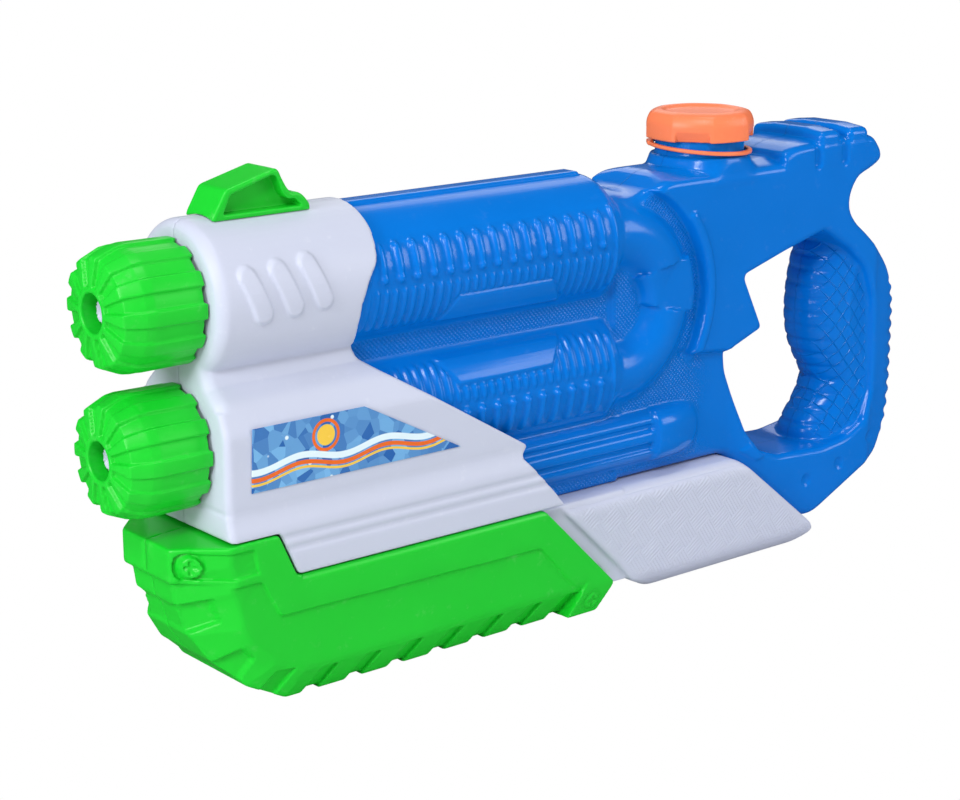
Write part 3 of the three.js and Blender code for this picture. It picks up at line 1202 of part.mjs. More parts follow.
function frontSight() {
  const z0 = lobeTopZ - 6;
  const top = lobeTopZ + SIGHT_HEIGHT;
  const x = sightFrontX;
  const outline = [
    [x, z0], [x + SIGHT_LENGTH, z0], [x + SIGHT_LENGTH, lobeTopZ + 1], [x + SIGHT_LENGTH - 3, lobeTopZ + 4.5],
    [x + SIGHT_LENGTH - 5.5, lobeTopZ + 5.8], [x + SIGHT_LENGTH - 8, lobeTopZ + 5.7],
    [x + SIGHT_APEX + 6, lobeTopZ + 8], [x + SIGHT_APEX + 4, top - 2.6], [x + SIGHT_APEX + 2, top - 0.6],
    [x + SIGHT_APEX - 0.5, top], [x + 3, lobeTopZ + SIGHT_FRONT_RISE],
  ];
  const wedge = prismAcross(outline, -SIGHT_HALF, SIGHT_HALF);
  const pocketOutline = [
    [x + SIGHT_RIM, lobeTopZ + 1], [x + SIGHT_LENGTH - 4, lobeTopZ + 1], [x + SIGHT_LENGTH - 6.5, lobeTopZ + 3.3],
    [x + SIGHT_APEX + 4.5, lobeTopZ + 5.5], [x + SIGHT_APEX + 1, top - SIGHT_RIM],
    [x + SIGHT_RIM + 1.5, lobeTopZ + SIGHT_FRONT_RISE - SIGHT_RIM],
  ];
  const pockets = [-1, 1].map((side) => {
    const [low, high] = [side * (SIGHT_HALF - SIGHT_POCKET), side * FAR].sort((a, b) => a - b);
    return prismAcross(pocketOutline, low, high);
  });
  const barrelRound = turnedAlong(rod(lobeRadius + FIT, -FAR, FAR), 0, UPPER_AXIS_Z, 2 * FINE_SIDES);
  const middle = x + SIGHT_LENGTH / 2;
  const reach = SIGHT_TONGUE_LENGTH / 2;
  const tongue = box(middle - reach, middle + reach, -SIGHT_TONGUE_HALF, SIGHT_TONGUE_HALF,
    lobeTopZ - SIGHT_TONGUE_DEPTH, lobeTopZ + 2);
  return join(cut(wedge, barrelRound, ...pockets), tongue);
}

function label(side) {
  const left = shellFrontX + LABEL_INSET;
  const low = SHELL_SIDE_BOTTOM_Z + LABEL_ABOVE_EDGE;
  const outline = [
    [left - 1, low], [left + LABEL_BOTTOM_LENGTH, low], [left + LABEL_TOP_LENGTH, low + LABEL_HEIGHT],
    [left, low + LABEL_HEIGHT],
  ];
  const under = SHELL_SIDE_HALF + SEAM / 2;
  const [from, to] = [side * under, side * (under + LABEL_THICKNESS)].sort((a, b) => a - b);
  return prismAcross(outline, from, to);
}

// Assembly

function piece(name, solid, material) {
  const { vertProperties, triVerts } = solid.getMesh();
  const geometry = new THREE.BufferGeometry();
  geometry.setAttribute('position', new THREE.BufferAttribute(new Float32Array(vertProperties), 3));
  geometry.setIndex(new THREE.BufferAttribute(new Uint32Array(triVerts), 1));
  geometry.computeVertexNormals();
  const mesh = new THREE.Mesh(geometry, material.clone());
  mesh.name = name;
  return mesh;
}

function screwSet(name, screws) {
  return screws.map((place, i) => piece(`${name}_${i + 1}`, screwSolid(place), palette.steel));
}

const squirter = new THREE.Group();
squirter.add(
  piece('water_tank', waterTank(), palette.tank),
  piece('filler_cap', fillerCap(), palette.cap),
  piece('cap_seal', capSeal(), palette.seal),
  piece('cap_tether', capTether(), palette.cap),
  piece('tank_grommet', tankGrommet(), palette.seal),
  piece('front_shell_left', frontShell(-1), palette.shell),
  piece('front_shell_right', frontShell(1), palette.shell),
  piece('nozzle_cap_upper', nozzleCap(UPPER_AXIS_Z), palette.grip),
  piece('nozzle_cap_lower', nozzleCap(lowerAxisZ), palette.grip),
  piece('nozzle_jet_upper', nozzleJet(UPPER_AXIS_Z), palette.shell),
  piece('nozzle_jet_lower', nozzleJet(lowerAxisZ), palette.shell),
  piece('outlet_manifold', outletManifold(), palette.pump),
  piece('supply_hose', supplyHose(), palette.hose),
  piece('front_sight', frontSight(), palette.grip),
  piece('label_left', label(-1), palette.label),
  piece('label_right', label(1), palette.label),
  piece('keel_left', keelHalf(-1), palette.shell),
  piece('keel_right', keelHalf(1), palette.shell),
  piece('grip_left', gripHalf(-1), palette.grip),
  piece('grip_right', gripHalf(1), palette.grip),
  piece('pump_rod', pumpRod(), palette.pump),
  piece('piston', piston(), palette.pump),
  piece('piston_seal', pistonSeal(), palette.seal),
  piece('pump_cylinder', pumpCylinder(), palette.pump),
  piece('gland_nut', glandNut(), palette.pump),
  piece('rod_seal', rodSeal(), palette.seal),
  piece('valve_block', valveBlock(), palette.pump),
  piece('valve_plug', valvePlug(), palette.pump),
  piece('inlet_ball', inletBall(), palette.steel),
  piece('outlet_ball', outletBall(), palette.steel),
  piece('outlet_spring', outletSpring(), palette.steel),
  ...screwSet('shell_screw', shellScrews),
  ...screwSet('keel_screw', keelScrews),
  ...screwSet('grip_screw', gripScrews),
);

export default squirter;
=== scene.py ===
"""Looks of the water squirter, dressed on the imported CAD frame.

Sizes are millimetres in the frame of the CAD: the muzzle points to -X, +Z is up and y = 0 is the
moulding seam. Each moulded piece is written as a signed distance on a grid, negative inside, and
skinned into a mesh. Only the half with y > 0 is worked out; the other half is its mirror image.
"""

from __future__ import annotations

import json
import logging
import math
from dataclasses import dataclass
from enum import Enum
from functools import reduce
from typing import Callable, NamedTuple, Sequence

import bpy
import numpy as np
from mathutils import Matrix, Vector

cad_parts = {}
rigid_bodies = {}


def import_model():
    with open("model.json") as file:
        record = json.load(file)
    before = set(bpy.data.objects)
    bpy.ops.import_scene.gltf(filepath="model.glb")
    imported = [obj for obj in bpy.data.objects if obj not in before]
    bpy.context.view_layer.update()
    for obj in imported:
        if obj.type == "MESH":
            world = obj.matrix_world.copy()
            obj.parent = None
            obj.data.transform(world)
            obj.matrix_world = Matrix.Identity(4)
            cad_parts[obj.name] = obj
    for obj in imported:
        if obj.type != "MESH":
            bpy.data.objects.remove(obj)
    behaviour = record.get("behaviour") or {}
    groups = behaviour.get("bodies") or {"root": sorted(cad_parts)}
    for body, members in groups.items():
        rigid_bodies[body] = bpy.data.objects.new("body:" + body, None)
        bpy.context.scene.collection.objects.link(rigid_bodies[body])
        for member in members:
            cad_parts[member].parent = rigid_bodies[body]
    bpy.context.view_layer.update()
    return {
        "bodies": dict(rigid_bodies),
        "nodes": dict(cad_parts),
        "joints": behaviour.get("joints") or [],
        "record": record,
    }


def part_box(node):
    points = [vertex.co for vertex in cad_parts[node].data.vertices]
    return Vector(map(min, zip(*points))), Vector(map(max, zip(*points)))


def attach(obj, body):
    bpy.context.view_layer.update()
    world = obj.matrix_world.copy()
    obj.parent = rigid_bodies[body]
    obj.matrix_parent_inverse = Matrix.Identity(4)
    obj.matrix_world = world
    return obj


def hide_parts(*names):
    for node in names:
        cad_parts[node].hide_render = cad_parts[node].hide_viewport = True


Array = np.ndarray
Outline = Sequence[tuple[float, float]]
Colour = tuple[float, float, float]

MM = 0.001
FAR = 1000.0
SHARP_ANGLE = math.radians(50)
WHITE = (1.0, 1.0, 1.0, 1.0)

# Levels of the barrels' axes and of the pump rod, and what a half stays clear of the seam
UPPER_AXIS = 148.0
LOWER_AXIS = 96.0
ROD_LEVEL = 28.0
SEAM_GAP = 0.05

log = logging.getLogger("squirter")


class Body(str, Enum):
    """Bodies of the CAD frame that pieces ride on."""

    SQUIRTER = "squirter"
    PUMP = "pump"
    CAP = "cap"
    TETHER = "tether"
    NOZZLE_UPPER = "nozzle_upper"
    NOZZLE_LOWER = "nozzle_lower"


class Slot(str, Enum):
    """Material slots of the record."""

    BLUE = "blue_plastic"
    ORANGE = "orange_plastic"
    WHITE = "white_plastic"
    GREEN = "green_plastic"
    PUMP = "pump_plastic"
    RUBBER = "black_rubber"
    HOSE = "clear_hose"
    LABEL = "label_foil"
    STEEL = "screw_steel"


class Side(str, Enum):
    """Side of the seam that a half lies on."""

    LEFT = "left"
    RIGHT = "right"


# Outlines and distances


def fillet(points: Outline, reach: float, steps: int = 3) -> list[tuple[float, float]]:
    """Round every corner of a closed outline.

    Args:
        points: corners of the outline.
        reach: how far from its corner each rounding starts.
        steps: points of each rounding, less one.

    Returns:
        The outline with a short curve at each corner.
    """
    rounded = []
    corners = [np.array(p, float) for p in points]
    for before, corner, after in zip([corners[-1]] + corners[:-1], corners, corners[1:] + corners[:1]):
        ends = []
        for other in (before, after):
            span = np.linalg.norm(other - corner)
            ends.append(corner + (other - corner) * min(reach, 0.45 * span) / span)
        for t in np.linspace(0, 1, steps + 1):
            point = (1 - t) ** 2 * ends[0] + 2 * t * (1 - t) * corner + t * t * ends[1]
            rounded.append((float(point[0]), float(point[1])))
    return rounded


def smooth_path(points: Outline, steps: int = 6) -> list[tuple[float, float]]:
    """Draw a smooth open curve through points.

    Args:
        points: places that the curve goes through.
        steps: pieces between two places.

    Returns:
        Points along the curve.
    """
    knots = [np.array(p, float) for p in points]
    knots = [2 * knots[0] - knots[1]] + knots + [2 * knots[-1] - knots[-2]]
    curve = []
    for a, b, c, d in zip(knots, knots[1:], knots[2:], knots[3:]):
        for t in np.arange(steps) / steps:
            point = 0.5 * (2 * b + (c - a) * t + (2 * a - 5 * b + 4 * c - d) * t ** 2
                           + (3 * b - a - 3 * c + d) * t ** 3)
            curve.append((float(point[0]), float(point[1])))
    return curve + [(float(knots[-2][0]), float(knots[-2][1]))]


def path_distance(points: Outline, a: Array, b: Array, closed: bool = False) -> Array:
    """Measure how far places lie from a line of points.

    Args:
        points: the line.
        a: first coordinate of the places.
        b: second coordinate of the places.
        closed: whether the last point joins the first.

    Returns:
        Unsigned distances.
    """
    a, b = np.broadcast_arrays(np.asarray(a, np.float32), np.asarray(b, np.float32))
    best = np.full(a.shape, np.float32(FAR * FAR))
    ends = list(points[1:]) + ([points[0]] if closed else [])
    for (a0, b0), (a1, b1) in zip(points, ends):
        run = (a1 - a0, b1 - b0)
        length = max(run[0] ** 2 + run[1] ** 2, 1e-9)
        t = np.clip(((a - a0) * run[0] + (b - b0) * run[1]) / length, 0, 1)
        best = np.minimum(best, (a - a0 - t * run[0]) ** 2 + (b - b0 - t * run[1]) ** 2)
    return np.sqrt(best)


def polygon_distance(points: Outline, a: Array, b: Array) -> Array:
    """Measure signed distances to a closed outline, negative inside it.

    Args:
        points: corners of the outline.
        a: first coordinate of the places.
        b: second coordinate of the places.

    Returns:
        Signed distances.
    """
    a, b = np.broadcast_arrays(np.asarray(a, np.float32), np.asarray(b, np.float32))
    inside = np.zeros(a.shape, bool)
    for (a0, b0), (a1, b1) in zip(points, list(points[1:]) + [points[0]]):
        if b0 == b1:
            continue
        spans = (b0 > b) != (b1 > b)
        inside ^= spans & (a < (a1 - a0) * (b - b0) / (b1 - b0) + a0)
    distance = path_distance(points, a, b, closed=True)
    return np.where(inside, -distance, distance)


def meet(a: Array, b: Array, r: float = 0.0) -> Array:
    """Keep what is in both shapes.

    Args:
        a: distance of one shape.
        b: distance of the other.
        r: rounding of the edges between them.

    Returns:
        Distance of what is left.
    """
    if r <= 0:
        return np.maximum(a, b)
    corner = np.hypot(np.maximum(a + r, 0), np.maximum(b + r, 0))
    return np.minimum(np.maximum(a, b), -r) + corner


def join(a: Array, b: Array, r: float = 0.0) -> Array:
    """Unite two shapes, with a hollow fillet of r between them."""
    return -meet(-a, -b, r)


def cut(a: Array, b: Array, r: float = 0.0) -> Array:
    """Take shape b out of shape a, with edges rounded by r."""
    return meet(a, -b, r)


def overlap(*shapes: Array) -> Array:
    """Keep what is in all of several shapes, with sharp edges."""
    return reduce(np.maximum, shapes)


def slab(value: Array, middle: float, half: float) -> Array:
    """Measure signed distances to a slab about a middle plane."""
    return np.abs(value - middle) - half


def slanted(y: Array, z: Array, edge: tuple[float, float], down: float, across: float) -> Array:
    """Measure signed distances to a plane that runs inwards and down from an edge at y and z."""
    return (down * (y - edge[0]) - across * (z - edge[1])) / math.hypot(down, across)


def ramp(value: Array, start: float, end: float) -> Array:
    """Ease from 0 at start to 1 at end."""
    t = np.clip((value - start) / (end - start), 0, 1)
    return t * t * (3 - 2 * t)


def between(value: Array, low: float, high: float) -> Array:
    """Measure how far values lie outside a range."""
    return np.maximum(np.maximum(low - value, value - high), 0)


def nearest(value: Array, first: float, pitch: float) -> Array:
    """Measure the offset of values from the nearest of evenly spaced places."""
    return (value - first + pitch / 2) % pitch - pitch / 2


def panel(outline: Outline, a: Array, b: Array, height: float) -> Array:
    """Give the height of a flat panel with steep sides, which is sunk where its height is negative."""
    return height * ramp(polygon_distance(outline, a, b), 0.2, -0.4)


@dataclass(frozen=True)
class Bead:
    """Rounded bead along a line.

    Attributes:
        half: half-width at its foot.
        height: height of its crown.
        flat: share of the half-width that the flat crown takes.
    """

    half: float
    height: float
    flat: float = 0.3

    def over(self, distance: Array) -> Array:
        """Give the bead's height from the distance to its middle line."""
        return self.height * ramp(distance, self.half, self.half * self.flat)


# Grids and skins


class Places(NamedTuple):
    """Coordinates of a grid's places, shaped to broadcast over the grid."""

    x: Array
    y: Array
    z: Array


@dataclass
class Lattice:
    """Grid of places that a distance is worked out on.

    Attributes:
        xs: places along X.
        ys: places along Y, from the seam outwards.
        zs: places along Z.
    """

    xs: Array
    ys: Array
    zs: Array

    @classmethod
    def over(cls, low: Sequence[float], high: Sequence[float], step: float,
             fine: tuple[float, float, float] | None = None) -> Lattice:
        """Lay a grid over a box.

        Args:
            low: lowest corner; its y is where the half starts.
            high: highest corner.
            step: spacing of the grid.
            fine: start, end and spacing of a finer stretch along X.

        Returns:
            The grid.
        """
        spans = [np.arange(a - 2 * step, b + 2 * step, step) for a, b in zip(low, high)]
        if fine is not None:
            start, end, pitch = fine
            outside = spans[0][(spans[0] < start - pitch / 2) | (spans[0] > end + pitch / 2)]
            spans[0] = np.sort(np.concatenate([outside, np.arange(start, end + pitch / 2, pitch)]))
        if low[1] == 0:
            spans[1] = np.arange(step / 2, high[1] + 2 * step, step)
        return cls(*(span.astype(np.float32) for span in spans))

    @property
    def places(self) -> Places:
        """Places of the grid."""
        return Places(self.xs[:, None, None], self.ys[None, :, None], self.zs[None, None, :])

    def mirrored_skin(self, distance: Array) -> tuple[Array, Array]:
        """Skin a half together with its mirror image across the seam."""
        whole = Lattice(self.xs, np.concatenate([-self.ys[::-1], self.ys]), self.zs)
        return whole.skin(np.concatenate([distance[:, ::-1], distance], axis=1))

    def skin(self, distance: Array) -> tuple[Array, Array]:
        """Skin the surface where the distance is zero.

        Args:
            distance: signed distances on the grid, positive at its edges.

        Returns:
            Vertices and four-cornered faces.
        """
        inside = distance < 0
        shape = tuple(n - 1 for n in inside.shape)
        corners = [(i, j, k) for i in (0, 1) for j in (0, 1) for k in (0, 1)]
        count = np.zeros(shape, np.uint8)
        for i, j, k in corners:
            count += inside[i:i + shape[0], j:j + shape[1], k:k + shape[2]]
        active = (count > 0) & (count < 8)
        cells = np.argwhere(active)
        values = np.stack([distance[tuple((cells + c).T)] for c in corners], axis=1)
        spot = self._crossings(values, corners)
        for _ in range(2):
            spot = self._settle(values, spot)
        lines = (self.xs, self.ys, self.zs)
        vertices = np.stack([
            line[cells[:, n]] + spot[:, n] * (line[cells[:, n] + 1] - line[cells[:, n]])
            for n, line in enumerate(lines)], axis=1)
        ids = np.full(shape, -1, np.int64)
        ids[active] = np.arange(len(cells))
        return vertices, self._faces(inside, ids)

    @staticmethod
    def _crossings(values: Array, corners: list[tuple[int, int, int]]) -> Array:
        """Average the places where the surface crosses the edges of each cell.

        Args:
            values: distances at the corners of each cell.
            corners: where the corners lie in a cell.

        Returns:
            A place in each cell, from 0 to 1 along each axis.
        """
        total = np.zeros((len(values), 3), np.float32)
        hits = np.zeros((len(values), 1), np.float32)
        for a, start in enumerate(corners):
            for b, end in enumerate(corners):
                if b <= a or sum(p != q for p, q in zip(start, end)) != 1:
                    continue
                crossed = (values[:, a] < 0) != (values[:, b] < 0)
                gap = values[:, a] - values[:, b]
                share = np.where(crossed, values[:, a] / np.where(crossed, gap, 1), 0)[:, None]
                spot = np.array(start) + share * (np.array(end) - np.array(start))
                total += spot * crossed[:, None]
                hits += crossed[:, None]
        return total / hits

    @staticmethod
    def _settle(values: Array, spot: Array) -> Array:
        """Move places in their cells onto the surface.

        Args:
            values: distances at the corners of each cell.
            spot: a place in each cell.

        Returns:
            The places, one step nearer to the surface.
        """
        cube = values.reshape(-1, 2, 2, 2)
        u, v, w = (spot[:, n] for n in range(3))
        along_w = cube[..., 0] * (1 - w)[:, None, None] + cube[..., 1] * w[:, None, None]
        along_v = along_w[:, :, 0] * (1 - v)[:, None] + along_w[:, :, 1] * v[:, None]
        height = along_v[:, 0] * (1 - u) + along_v[:, 1] * u
        slope_u = along_v[:, 1] - along_v[:, 0]
        run_v = along_w[:, :, 1] - along_w[:, :, 0]
        slope_v = run_v[:, 0] * (1 - u) + run_v[:, 1] * u
        rise = cube[..., 1] - cube[..., 0]
        rise_v = rise[:, :, 0] * (1 - v)[:, None] + rise[:, :, 1] * v[:, None]
        slope_w = rise_v[:, 0] * (1 - u) + rise_v[:, 1] * u
        slope = np.stack([slope_u, slope_v, slope_w], axis=1)
        size = np.maximum((slope ** 2).sum(axis=1), 1e-6)
        return np.clip(spot - slope * (height / size)[:, None], 0.02, 0.98)

    @staticmethod
    def _faces(inside: Array, ids: Array) -> Array:
        """Join the cells around each crossed grid edge into a face.

        Args:
            inside: whether each place of the grid is inside.
            ids: number of the vertex in each cell.

        Returns:
            The four vertices of each face.
        """
        faces = []
        for axis in range(3):
            first, second = (axis + 1) % 3, (axis + 2) % 3
            order = (axis, first, second)
            solid = inside.transpose(order)
            cell = ids.transpose(order)
            here = solid[:-1, 1:-1, 1:-1]
            there = solid[1:, 1:-1, 1:-1]
            for leaving in (True, False):
                edge = np.argwhere((here & ~there) if leaving else (there & ~here))
                i, j, k = edge.T
                ring = [cell[i, j, k], cell[i, j + 1, k], cell[i, j + 1, k + 1], cell[i, j, k + 1]]
                faces.append(np.stack(ring if leaving else ring[::-1], axis=1))
        return np.concatenate(faces)


def make_piece(name: str, vertices: Array, faces: Array, triangles: int) -> bpy.types.Object:
    """Make a smooth mesh object, thinned where it is flat.

    Args:
        name: name of the piece.
        vertices: places in millimetres.
        faces: corners of each face.
        triangles: about how many triangles to keep.

    Returns:
        The object, linked into the scene.
    """
    mesh = bpy.data.meshes.new(name)
    mesh.from_pydata((vertices * MM).tolist(), [], faces.tolist())
    piece = bpy.data.objects.new(name, mesh)
    bpy.context.scene.collection.objects.link(piece)
    count = 2 * len(faces)
    if count > triangles:
        thin = piece.modifiers.new("thin", "DECIMATE")
        thin.ratio = triangles / count
        graph = bpy.context.evaluated_depsgraph_get()
        thinned = bpy.data.meshes.new_from_object(piece.evaluated_get(graph))
        piece.modifiers.remove(thin)
        piece.data = thinned
        bpy.data.meshes.remove(mesh)
        thinned.name = name
    piece.data.shade_smooth()
    piece.data.set_sharp_from_angle(angle=SHARP_ANGLE)
    return piece


def store(piece: bpy.types.Object, name: str, measure: Callable[[Array, Array], Array]) -> None:
    """Store a value per vertex for a material to read.

    Args:
        piece: object whose vertices are measured.
        name: name of the attribute.
        measure: gives the values from places in millimetres and normals.
    """
    count = len(piece.data.vertices)
    places = np.empty(count * 3, np.float32)
    normals = np.empty(count * 3, np.float32)
    piece.data.vertices.foreach_get("co", places)
    piece.data.vertices.foreach_get("normal", normals)
    values = measure(places.reshape(-1, 3) / MM, normals.reshape(-1, 3))
    layer = piece.data.attributes.new(name, "FLOAT", "POINT")
    layer.data.foreach_set("value", np.asarray(values, np.float32))


# Finishes


def linear(colour: Colour) -> tuple[float, float, float, float]:
    """Turn a display colour into the linear colour that sockets take."""
    parts = [c / 12.92 if c <= 0.04045 else ((c + 0.055) / 1.055) ** 2.4 for c in colour]
    return (*parts, 1.0)


class Graph:
    """Short-hand for adding and linking nodes in one tree."""

    def __init__(self, tree: bpy.types.NodeTree) -> None:
        """Keep the tree that nodes go into."""
        self.tree = tree

    def put(self, value: object, socket: bpy.types.NodeSocket) -> None:
        """Give an input its value, or link it where the value is a socket.

        Args:
            value: a plain value or another node's output.
            socket: the input.
        """
        if isinstance(value, bpy.types.NodeSocket):
            self.tree.links.new(value, socket)
        else:
            socket.default_value = value

    def add(self, kind: str, inputs: dict | None = None, **settings: object) -> bpy.types.Node:
        """Add a node.

        Args:
            kind: class name of the node, without its ShaderNode prefix.
            inputs: values or sockets for its inputs, by name or number.
            settings: properties of the node.

        Returns:
            The node.
        """
        node = self.tree.nodes.new("ShaderNode" + kind)
        for name, value in settings.items():
            setattr(node, name, value)
        for name, value in (inputs or {}).items():
            self.put(value, node.inputs[name])
        return node

    def math(self, operation: str, *values: object) -> bpy.types.NodeSocket:
        """Add a math node and return its result."""
        return self.add("Math", dict(enumerate(values)), operation=operation).outputs[0]

    def mix(self, share: bpy.types.NodeSocket, under: object, over: object) -> bpy.types.NodeSocket:
        """Lay one colour over another by a share from 0 to 1."""
        return self.add("Mix", {0: share, 6: under, 7: over}, data_type="RGBA").outputs[2]

    def fade(self, value: bpy.types.NodeSocket, start: float, end: float) -> bpy.types.NodeSocket:
        """Ease a value from 0 at start to 1 at end."""
        inputs = {"Value": value, "From Min": start, "From Max": end}
        return self.add("MapRange", inputs, interpolation_type="SMOOTHSTEP").outputs[0]

    def place(self) -> bpy.types.NodeSocket:
        """Give the place on the object, in metres."""
        return self.add("TexCoord").outputs["Object"]

    def axes(self) -> bpy.types.Node:
        """Give the place on the object as X, Y and Z."""
        return self.add("SeparateXYZ", {0: self.place()})

    def group(self, tree: bpy.types.NodeTree, **inputs: object) -> bpy.types.Node:
        """Place a node group.

        Args:
            tree: the group.
            inputs: values or sockets for its inputs, by name.

        Returns:
            The group's node.
        """
        node = self.add("Group", node_tree=tree)
        for name, value in inputs.items():
            self.put(value, node.inputs[name.replace("_", " ").capitalize()])
        return node


def new_group(name: str, inputs: dict[str, float],
              outputs: Sequence[str]) -> tuple[Graph, bpy.types.Node, bpy.types.Node]:
    """Start a shader node group of plain values.

    Args:
        name: name of the group.
        inputs: default of each input, by name.
        outputs: names of its outputs.

    Returns:
        The graph, its input node and its output node.
    """
    tree = bpy.data.node_groups.new(name, "ShaderNodeTree")
    for key, value in inputs.items():
        tree.interface.new_socket(key, in_out="INPUT", socket_type="NodeSocketFloat").default_value = value
    for key in outputs:
        tree.interface.new_socket(key, in_out="OUTPUT", socket_type="NodeSocketFloat")
    return Graph(tree), tree.nodes.new("NodeGroupInput"), tree.nodes.new("NodeGroupOutput")


def new_material(name: str) -> tuple[bpy.types.Material, Graph, bpy.types.Node]:
    """Start a material.

    Args:
        name: name of the material.

    Returns:
        The material, its graph and its shader.
    """
    material = bpy.data.materials.new(name)
    material.use_nodes = True
    return material, Graph(material.node_tree), material.node_tree.nodes["Principled BSDF"]


@dataclass
class Effects:
    """Shader groups that the finishes share."""

    grain: bpy.types.NodeTree
    seam: bpy.types.NodeTree
    lattice: bpy.types.NodeTree
    weave: bpy.types.NodeTree
    cracks: bpy.types.NodeTree

    @classmethod
    def build(cls) -> Effects:
        """Build every group once."""
        return cls(cls._grain(), cls._seam(), cls._lattice(), cls._weave(), cls._cracks())

    @staticmethod
    def _grain() -> bpy.types.NodeTree:
        """Make the moulded skin: fine grain, cloudy shade and scattered scuffs.

        Returns:
            The group.
        """
        graph, source, sink = new_group("moulded_grain", {"Grain size": 0.5, "Scuffs": 0.3},
                                        ["Height", "Shade", "Scuff"])
        place = graph.place()
        density = graph.math("DIVIDE", 1 / MM, source.outputs["Grain size"])
        fine = graph.add("TexNoise", {"Vector": place, "Scale": density, "Detail": 2.0})
        cloud = graph.add("TexNoise", {"Vector": place, "Scale": 22.0, "Detail": 3.0})
        marks = graph.add("TexNoise", {"Vector": place, "Scale": 160.0, "Detail": 5.0, "Roughness": 0.7})
        scuff = graph.math("MULTIPLY", graph.fade(marks.outputs[0], 0.58, 0.74), source.outputs["Scuffs"])
        for name, value in (("Height", fine.outputs[0]), ("Shade", cloud.outputs[0]), ("Scuff", scuff)):
            graph.put(value, sink.inputs[name])
        return graph.tree

    @staticmethod
    def _seam() -> bpy.types.NodeTree:
        """Make the moulding seam: a thin line in the plane y = 0.

        Returns:
            The group.
        """
        graph, source, sink = new_group("mould_seam", {"Half width": 0.3}, ["Line"])
        offset = graph.math("DIVIDE", graph.math("ABSOLUTE", graph.axes().outputs["Y"]), MM)
        share = graph.math("DIVIDE", offset, source.outputs["Half width"])
        graph.put(graph.fade(share, 1.0, 0.4), sink.inputs["Line"])
        return graph.tree

    @staticmethod
    def _diagonals(graph: Graph, source: bpy.types.Node) -> list[bpy.types.NodeSocket]:
        """Measure along both diagonals of the side faces, by the group's slant.

        Args:
            graph: graph of the group.
            source: its input node.

        Returns:
            Places along the rising and the falling diagonal.
        """
        place = graph.axes()
        rise = graph.math("MULTIPLY", place.outputs["Z"], source.outputs["Slant"])
        return [graph.math(way, place.outputs["X"], rise) for way in ("ADD", "SUBTRACT")]

    @classmethod
    def _lattice(cls) -> bpy.types.NodeTree:
        """Make the diamond lattice on the side faces.

        Returns:
            The group.
        """
        graph, source, sink = new_group("diamond_lattice", {"Pitch": 1.3, "Slant": 1.0}, ["Height"])
        turns = graph.math("DIVIDE", math.tau / MM, source.outputs["Pitch"])
        phases = [graph.math("MULTIPLY", along, turns) for along in cls._diagonals(graph, source)]
        waves = [graph.math("SINE", phase) for phase in phases]
        graph.put(graph.math("MULTIPLY_ADD", graph.math("ADD", *waves), 0.25, 0.5), sink.inputs["Height"])
        return graph.tree

    @classmethod
    def _cracks(cls) -> bpy.types.NodeTree:
        """Make the thin crossing grooves on the side faces that part the skin into scales.

        Returns:
            The group.
        """
        graph, source, sink = new_group("scale_cracks", {"Pitch": 6.0, "Slant": 0.8, "Width": 0.07},
                                        ["Height"])
        density = graph.math("DIVIDE", 1 / MM, source.outputs["Pitch"])
        lines = []
        for diagonal in cls._diagonals(graph, source):
            away = graph.math("PINGPONG", graph.math("MULTIPLY", diagonal, density), 0.5)
            lines.append(graph.fade(graph.math("DIVIDE", away, source.outputs["Width"]), 0.0, 1.0))
        graph.put(graph.math("MINIMUM", *lines), sink.inputs["Height"])
        return graph.tree

    @staticmethod
    def _weave() -> bpy.types.NodeTree:
        """Make the basket weave on the side faces: squares of fine lines, in turn upright and level.

        Returns:
            The group.
        """
        graph, source, sink = new_group("basket_weave", {"Square": 9.0, "Line": 1.5, "Turn": 0.5}, ["Height"])
        place = graph.add("VectorRotate", {"Vector": graph.place(), "Angle": source.outputs["Turn"]},
                          rotation_type="Y_AXIS")
        parts = graph.add("SeparateXYZ", {0: place.outputs[0]})
        cells, lines = [], []
        for name in ("X", "Z"):
            reach = graph.math("DIVIDE", parts.outputs[name], MM)
            cells.append(graph.math("FLOOR", graph.math("DIVIDE", reach, source.outputs["Square"])))
            phase = graph.math("MULTIPLY", graph.math("DIVIDE", reach, source.outputs["Line"]), math.tau)
            lines.append(graph.math("SINE", phase))
        turn = graph.math("FLOORED_MODULO", graph.math("ADD", *cells), 2.0)
        mixed = graph.add("Mix", {0: turn, 2: lines[0], 3: lines[1]})
        graph.put(graph.math("MULTIPLY_ADD", mixed.outputs[0], 0.5, 0.5), sink.inputs["Height"])
        return graph.tree


